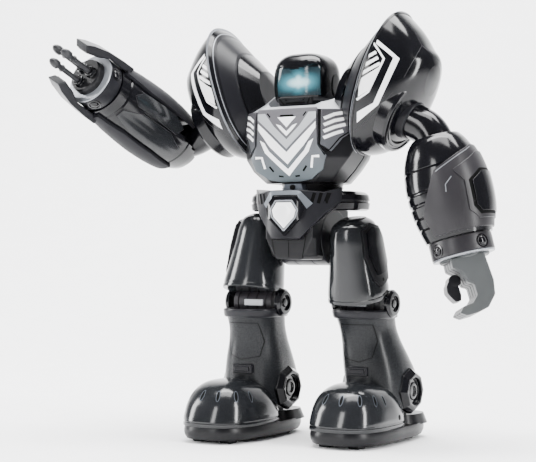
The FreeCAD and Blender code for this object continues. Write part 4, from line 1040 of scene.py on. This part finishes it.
THIGH_LEVELS = [(110, 40, -6.8, 21.2, 22.7), (114, 40, -6.5, 21, 22.5), (128, 40, -5.5, 19, 21.5),
                (142, 40, -4.5, 17.5, 20.5), (154, 40, -4, 16.5, 19), (161, 40, -4, 14, 16.5),
                (165, 40, -4, 9, 11)]
THIGH_HEM = [(106, 40, -7, 19.5, 21), (106, 40, -7, 21.2, 22.7), (106.7, 40, -7, 21.5, 23),
             (108.6, 40, -6.9, 21.4, 22.9), (109, 40, -6.9, 21, 22.5), (109.4, 40, -6.9, 21, 22.5)]
SHIN_LEVELS = [(91, 41, 0.4, 20.2, 21.8), (82, 41.6, 3.5, 19.5, 21.2), (72, 42.7, 7, 20.2, 23),
               (60, 44.2, 11, 22.2, 26.6), (48, 45.6, 15, 23.6, 30), (36, 46.6, 17, 24, 31.5),
               (24, 47, 17.5, 24, 31)]
SHIN_COLLAR = [(90.2, 40.9, 0.4, 20.6, 22.1), (90.8, 40.9, 0.4, 21.3, 22.8), (92, 40.8, 0.2, 21.6, 23.1),
               (95.4, 40.6, -0.7, 21.8, 22.9), (96.5, 40.5, -1, 21.3, 22.3), (96.5, 40.5, -1, 18.6, 19.6),
               (94.5, 40.5, -1, 18, 19)]
FOOT_LEVELS = [(16.2, 47, -23.5, 28.3, 40.8), (20, 47, -24, 28, 39.5), (28, 47, -25, 26.4, 35.5),
               (35, 47, -26, 23.3, 30), (40, 47, -27, 19, 24), (43.5, 47, -28, 13, 16), (45, 47, -28.5, 6, 7)]
FOOT_RIM = [(12.2, 47, -23, 27, 40.1), (12.2, 47, -23, 28.2, 41.3), (12.8, 47, -23, 28.5, 41.6),
            (14.6, 47, -23.1, 28.5, 41.5), (15, 47, -23.2, 27.9, 40.7), (15.6, 47, -23.3, 27.9, 40.6)]
LEG_X = 40
KNEE_Y, KNEE_Z = 2.0, 101.0
HIP_Z = 150.0
THIGH_TILT = math.radians(13)
ANKLE_X, ANKLE_Y, ANKLE_Z = 46.2, 17.0, 36.0


def about_leg(profile):
    """A profile along the knee's axis, moved out to the middle of the leg."""
    return [(x + LEG_X, radius) for x, radius in profile]


def build_thigh(side):
    """Thigh cover with a flared hem, and a faceted pad on the outside."""
    matrix = thigh_frame(side)
    body = f"thigh_{side}"
    levels = THIGH_HEM + smooth_stations(THIGH_LEVELS, 6)
    cover = skinned(f"thigh_cover_{side}", ovals(levels, 2.4, 72), matrix, "slate", body,
                    [f"thigh_shell_{side}"], slot="gloss_slate")
    plane = Plane(matrix, (50, -4, 0), (0.94, -0.34, 0), UP, tree_of(cover))
    base = [(-10.5, 158), (-2, 161.5), (8, 158), (12, 150), (13, 130), (8, 119), (-3, 116), (-8, 121),
            (-12.5, 140)]
    pressed(f"thigh_pad_{side}", on(plane, [base]), "black_satin", body, lift=0.0, thick=2.2, step=3,
            bevel=0.6, nodes=[f"thigh_armour_{side}"])
    face = [(-8.4, 156), (-2, 158.8), (6.4, 156), (9.4, 149), (10.4, 131), (5, 125), (-6, 125), (-10, 140)]
    pressed(f"thigh_plate_{side}", on(plane, [face]), "black", body, lift=2.2, thick=1.0, step=3, bevel=0.4)
    pressed(f"thigh_screw_{side}", on(plane, [oval(0, 120.4, 1.3, 1.3, count=12)]), "groove", body, lift=2.3)
    build_knee(side, matrix, body)


def build_knee(side, matrix, body):
    """Knee pin with a chamfered cap at each end."""
    centre = (KNEE_Y, HIP_Z - (HIP_Z - KNEE_Z) / math.cos(THIGH_TILT))
    cap = [(20.4, 3), (20.4, 10.4), (22.8, 10.4), (24.6, 8.6), (24.8, 6), (23, 5.6), (23, 3.2),
           (24.2, 2.8), (24.4, 0.6)]
    bm = bmesh.new()
    for profile in (cap, [(-x, radius) for x, radius in reversed(cap)]):
        lathe(bm, about_leg(profile), 48, centre, "x")
    piece(f"knee_caps_{side}", bm, matrix, "black", body, [f"knee_pivot_{side}"], slot="matte_black",
          bevel=0.25)


def build_shin(side):
    """Flaring shin with a collar, a knee drum, a clasp and seam lines."""
    matrix = shin_frame(side)
    body = f"shin_{side}"
    rings = ovals(smooth_stations(SHIN_LEVELS, 5), 2.5, 72)
    cover = skinned(f"shin_cover_{side}", rings, matrix, "slate_soft", body,
                    [f"shin_front_{side}", f"shin_rear_{side}"], slot="gloss_slate")
    skinned(f"shin_collar_{side}", ovals(SHIN_COLLAR, 2.9, 72), matrix, "gunmetal_dark", body,
            slot="gloss_slate", bevel=0.2)
    drum = [(-16.6, 3), (-16.6, 8.6), (-16, 9)]
    for x in (-12, -4, 4, 12):
        drum += [(x - 0.7, 9), (x - 0.5, 8.3), (x + 0.5, 8.3), (x + 0.7, 9)]
    drum += [(16, 9), (16.6, 8.6), (16.6, 3)]
    turned(f"knee_drum_{side}", about_leg(drum), matrix, "gunmetal", body, axis="x", centre=(KNEE_Y, KNEE_Z),
           slot="gloss_slate", bevel=0.15)
    prism(f"knee_block_{side}", [(30, 98.6), (46, 98.6), (46, 103.4), (30, 103.4)], -8.4, -5, matrix,
          "pale_silver", body, slot="gloss_slate", bevel=0.5)
    front = Plane(matrix, (42, -30, 0), FRONT, UP, tree_of(cover))
    apron = [(-13, 86), (13, 86), (15, 74), (12, 62), (2, 58.5), (-12, 61), (-15, 72)]
    pressed(f"shin_lines_{side}", on(front, closed_line(apron, 0.55)), "groove", body, "gloss_slate",
            lift=0.07)
    bm = bmesh.new()
    extrude_outline(bm, [(34.2, 48.2), (50.8, 48.2), (50.8, 54.8), (34.2, 54.8)], -17.4, -6)
    extrude_outline(bm, [(36.2, 49.8), (48.8, 49.8), (48.8, 53.4), (36.2, 53.4)], -18.5, -17)
    piece(f"shin_clasp_{side}", bm, matrix, "gunmetal_dark", body, slot="gloss_slate", bevel=0.6)
    build_ankle(side, matrix, body)


def ankle_ring(x, radius, edged):
    """A ring about the ankle's axis, round or with eight edges."""
    eighth = math.pi / 4
    points = []
    for i in range(64):
        angle = 2 * math.pi * i / 64
        reach = radius
        if edged:
            reach = radius * math.cos(eighth / 2) / math.cos(angle % eighth - eighth / 2)
        points.append((ANKLE_X + x, ANKLE_Y + reach * math.cos(angle), ANKLE_Z + reach * math.sin(angle)))
    return points


def build_ankle(side, matrix, body):
    """Eight-sided hollow hub on each side of the ankle."""
    edged = ((20.3, 12), (20.3, 16.4), (20.9, 17), (23.8, 17), (27.8, 13.4))
    smooth = ((28, 11.2), (27.6, 10.2), (25, 9.8), (25, 6.4), (26.2, 6), (26.4, 4), (25, 3.4),
              (25, 0.6))
    for name, sign, nodes in (("outer", 1, [f"ankle_pivot_{side}"]), ("inner", -1, [])):
        rings = [ankle_ring(sign * x, radius, True) for x, radius in edged]
        rings += [ankle_ring(sign * x, radius, False) for x, radius in smooth]
        skinned(f"ankle_{name}_{side}", rings, matrix, "black", body, nodes, slot="matte_black", bevel=0.35)


def build_foot(side):
    """Domed toe cap with vents, a painted highlight ring round each vent, and a side hole."""
    matrix = shin_frame(side)
    body = f"foot_{side}"
    bm = bmesh.new()
    skin(bm, ovals(FOOT_RIM + smooth_stations(FOOT_LEVELS, 6), 2.8, 96))
    cut_away(bm, (0, 5, 0), (0, 1, 0))
    cap = piece(f"toe_cap_{side}", bm, matrix, "slate", body, [f"foot_shell_{side}"], slot="gloss_slate")
    surface = tree_of(cap)
    rim_highlights, holes = [], []
    for angle in (-66, -40, -16, 8, 32, 56, 80):
        turn = math.radians(angle)
        plane = Plane(matrix, (47, -25, 26), (math.sin(turn), -math.cos(turn), 0.22), UP, surface)
        rim_highlights.append((plane, oval(0, 1.5, 1.7, 4.4)))
        holes.append((plane, oval(0, 1.5, 1.1, 3.7)))
    # Painted highlight: a flat lighter ring round each vent stands in for the light caught on the vent's
    # edge.
    pressed(f"toe_vent_rim_highlights_{side}", rim_highlights, "silver_blue", body, "gloss_slate", lift=0.04, step=1.5)
    pressed(f"toe_vents_{side}", holes, "groove", body, "gloss_slate", lift=0.09, step=1.5)
    flank = Plane(matrix, (75, -20, 0), (1, 0, 0), UP, surface)
    pressed(f"toe_hole_{side}", on(flank, [oval(9, 19.5, 2, 2)]), "groove", body, "gloss_slate", lift=0.1)


# ---------------------------------------------------------------- studio

SWEEP_RADIUS = 1.5
SWEEP_START = 0.6
SWEEP_HALF_WIDTH = 5
CAMERA_DISTANCE = 1.090
CAMERA_HEIGHT = 0.145
AIM_HIGHER, AIM_LEFT = 0.00977, 0.03157


def area_light(name, place, target, size, power):
    """A rectangular lamp that points from one place to another."""
    lamp = bpy.data.lights.new(name, "AREA")
    lamp.shape = "RECTANGLE"
    lamp.size, lamp.size_y = size
    lamp.energy = power
    made = bpy.data.objects.new(name, lamp)
    made.location = place
    made.rotation_euler = (Vector(target) - Vector(place)).to_track_quat("-Z", "Y").to_euler()
    bpy.context.collection.objects.link(made)


def build_sweep():
    """Pale floor that curves up into a backdrop, square to the main view."""
    profile = [(-4.0, 0.0), (-1.0, 0.0), (0.3, 0.0)]
    for i in range(31):
        turn = math.radians(3 * i)
        profile.append((SWEEP_START + SWEEP_RADIUS * math.sin(turn), SWEEP_RADIUS * (1 - math.cos(turn))))
    profile += [(SWEEP_START + SWEEP_RADIUS, 2.4), (SWEEP_START + SWEEP_RADIUS, 4.0)]
    turn = Matrix.Rotation(VIEW_TURN, 4, "Z")
    bm = bmesh.new()
    rows = [[bm.verts.new(turn @ Vector((x, y, z))) for x in (-SWEEP_HALF_WIDTH, SWEEP_HALF_WIDTH)]
            for y, z in profile]
    for low, high in zip(rows, rows[1:]):
        bm.faces.new((low[0], low[1], high[1], high[0]))
    mesh = bpy.data.meshes.new("studio_sweep")
    bm.to_mesh(mesh)
    bm.free()
    mesh.shade_smooth()
    sweep = bpy.data.objects.new("studio_sweep", mesh)
    bpy.context.collection.objects.link(sweep)
    mesh.materials.append(plastic("sweep_white", (0.90, 0.90, 0.905), 0.9, level=0.0, spread=0.01, bump=0.0))


def build_lights():
    """Pale surroundings, three upright strips, a lamp above and a wash on the backdrop."""
    world = bpy.data.worlds.new("studio")
    world.use_nodes = True
    world.node_tree.nodes["Background"].inputs["Color"].default_value = (0.95, 0.97, 1.0, 1)
    world.node_tree.nodes["Background"].inputs["Strength"].default_value = 0.28
    bpy.context.scene.world = world
    robot = (0, 0, 0.16)
    area_light("strip_left", (-1.30, -0.72, 0.50), robot, (0.36, 1.2), 42)
    area_light("strip_front", (-0.32, -1.5, 0.62), robot, (0.30, 1.0), 15)
    area_light("strip_right", (1.35, -0.15, 0.50), robot, (0.18, 1.2), 30)
    area_light("top", (0.1, -0.25, 1.35), robot, (0.9, 0.5), 20)
    area_light("sweep_wash", (-0.1, 0.3, 2.3), (-0.9, 1.7, 0.5), (2.4, 1.4), 250)


def build_camera():
    """The main view, from the robot's front left and about level with its middle."""
    lens = bpy.data.cameras.new("camera")
    lens.lens = 97.4
    lens.sensor_width = 36
    across = Vector((math.cos(VIEW_TURN), math.sin(VIEW_TURN), 0))
    place = QUARTER * CAMERA_DISTANCE + UP * CAMERA_HEIGHT
    aim = UP * (CAMERA_HEIGHT + AIM_HIGHER) - across * AIM_LEFT
    camera = bpy.data.objects.new("camera", lens)
    camera.location = place
    camera.rotation_euler = (aim - place).to_track_quat("-Z", "Y").to_euler()
    bpy.context.collection.objects.link(camera)
    bpy.context.scene.camera = camera


# ---------------------------------------------------------------- whole

def build():
    """The whole robot and its studio."""
    make_materials()
    finish_plain_nodes()
    build_trunk()
    build_pelvis()
    build_head()
    for side in ("left", "right"):
        build_cowl(side)
        build_upper_arm(side)
        build_thigh(side)
        build_shin(side)
        build_foot(side)
    build_left_forearm()
    build_blaster()
    build_hand()
    build_sweep()
    build_lights()
    build_camera()


build()
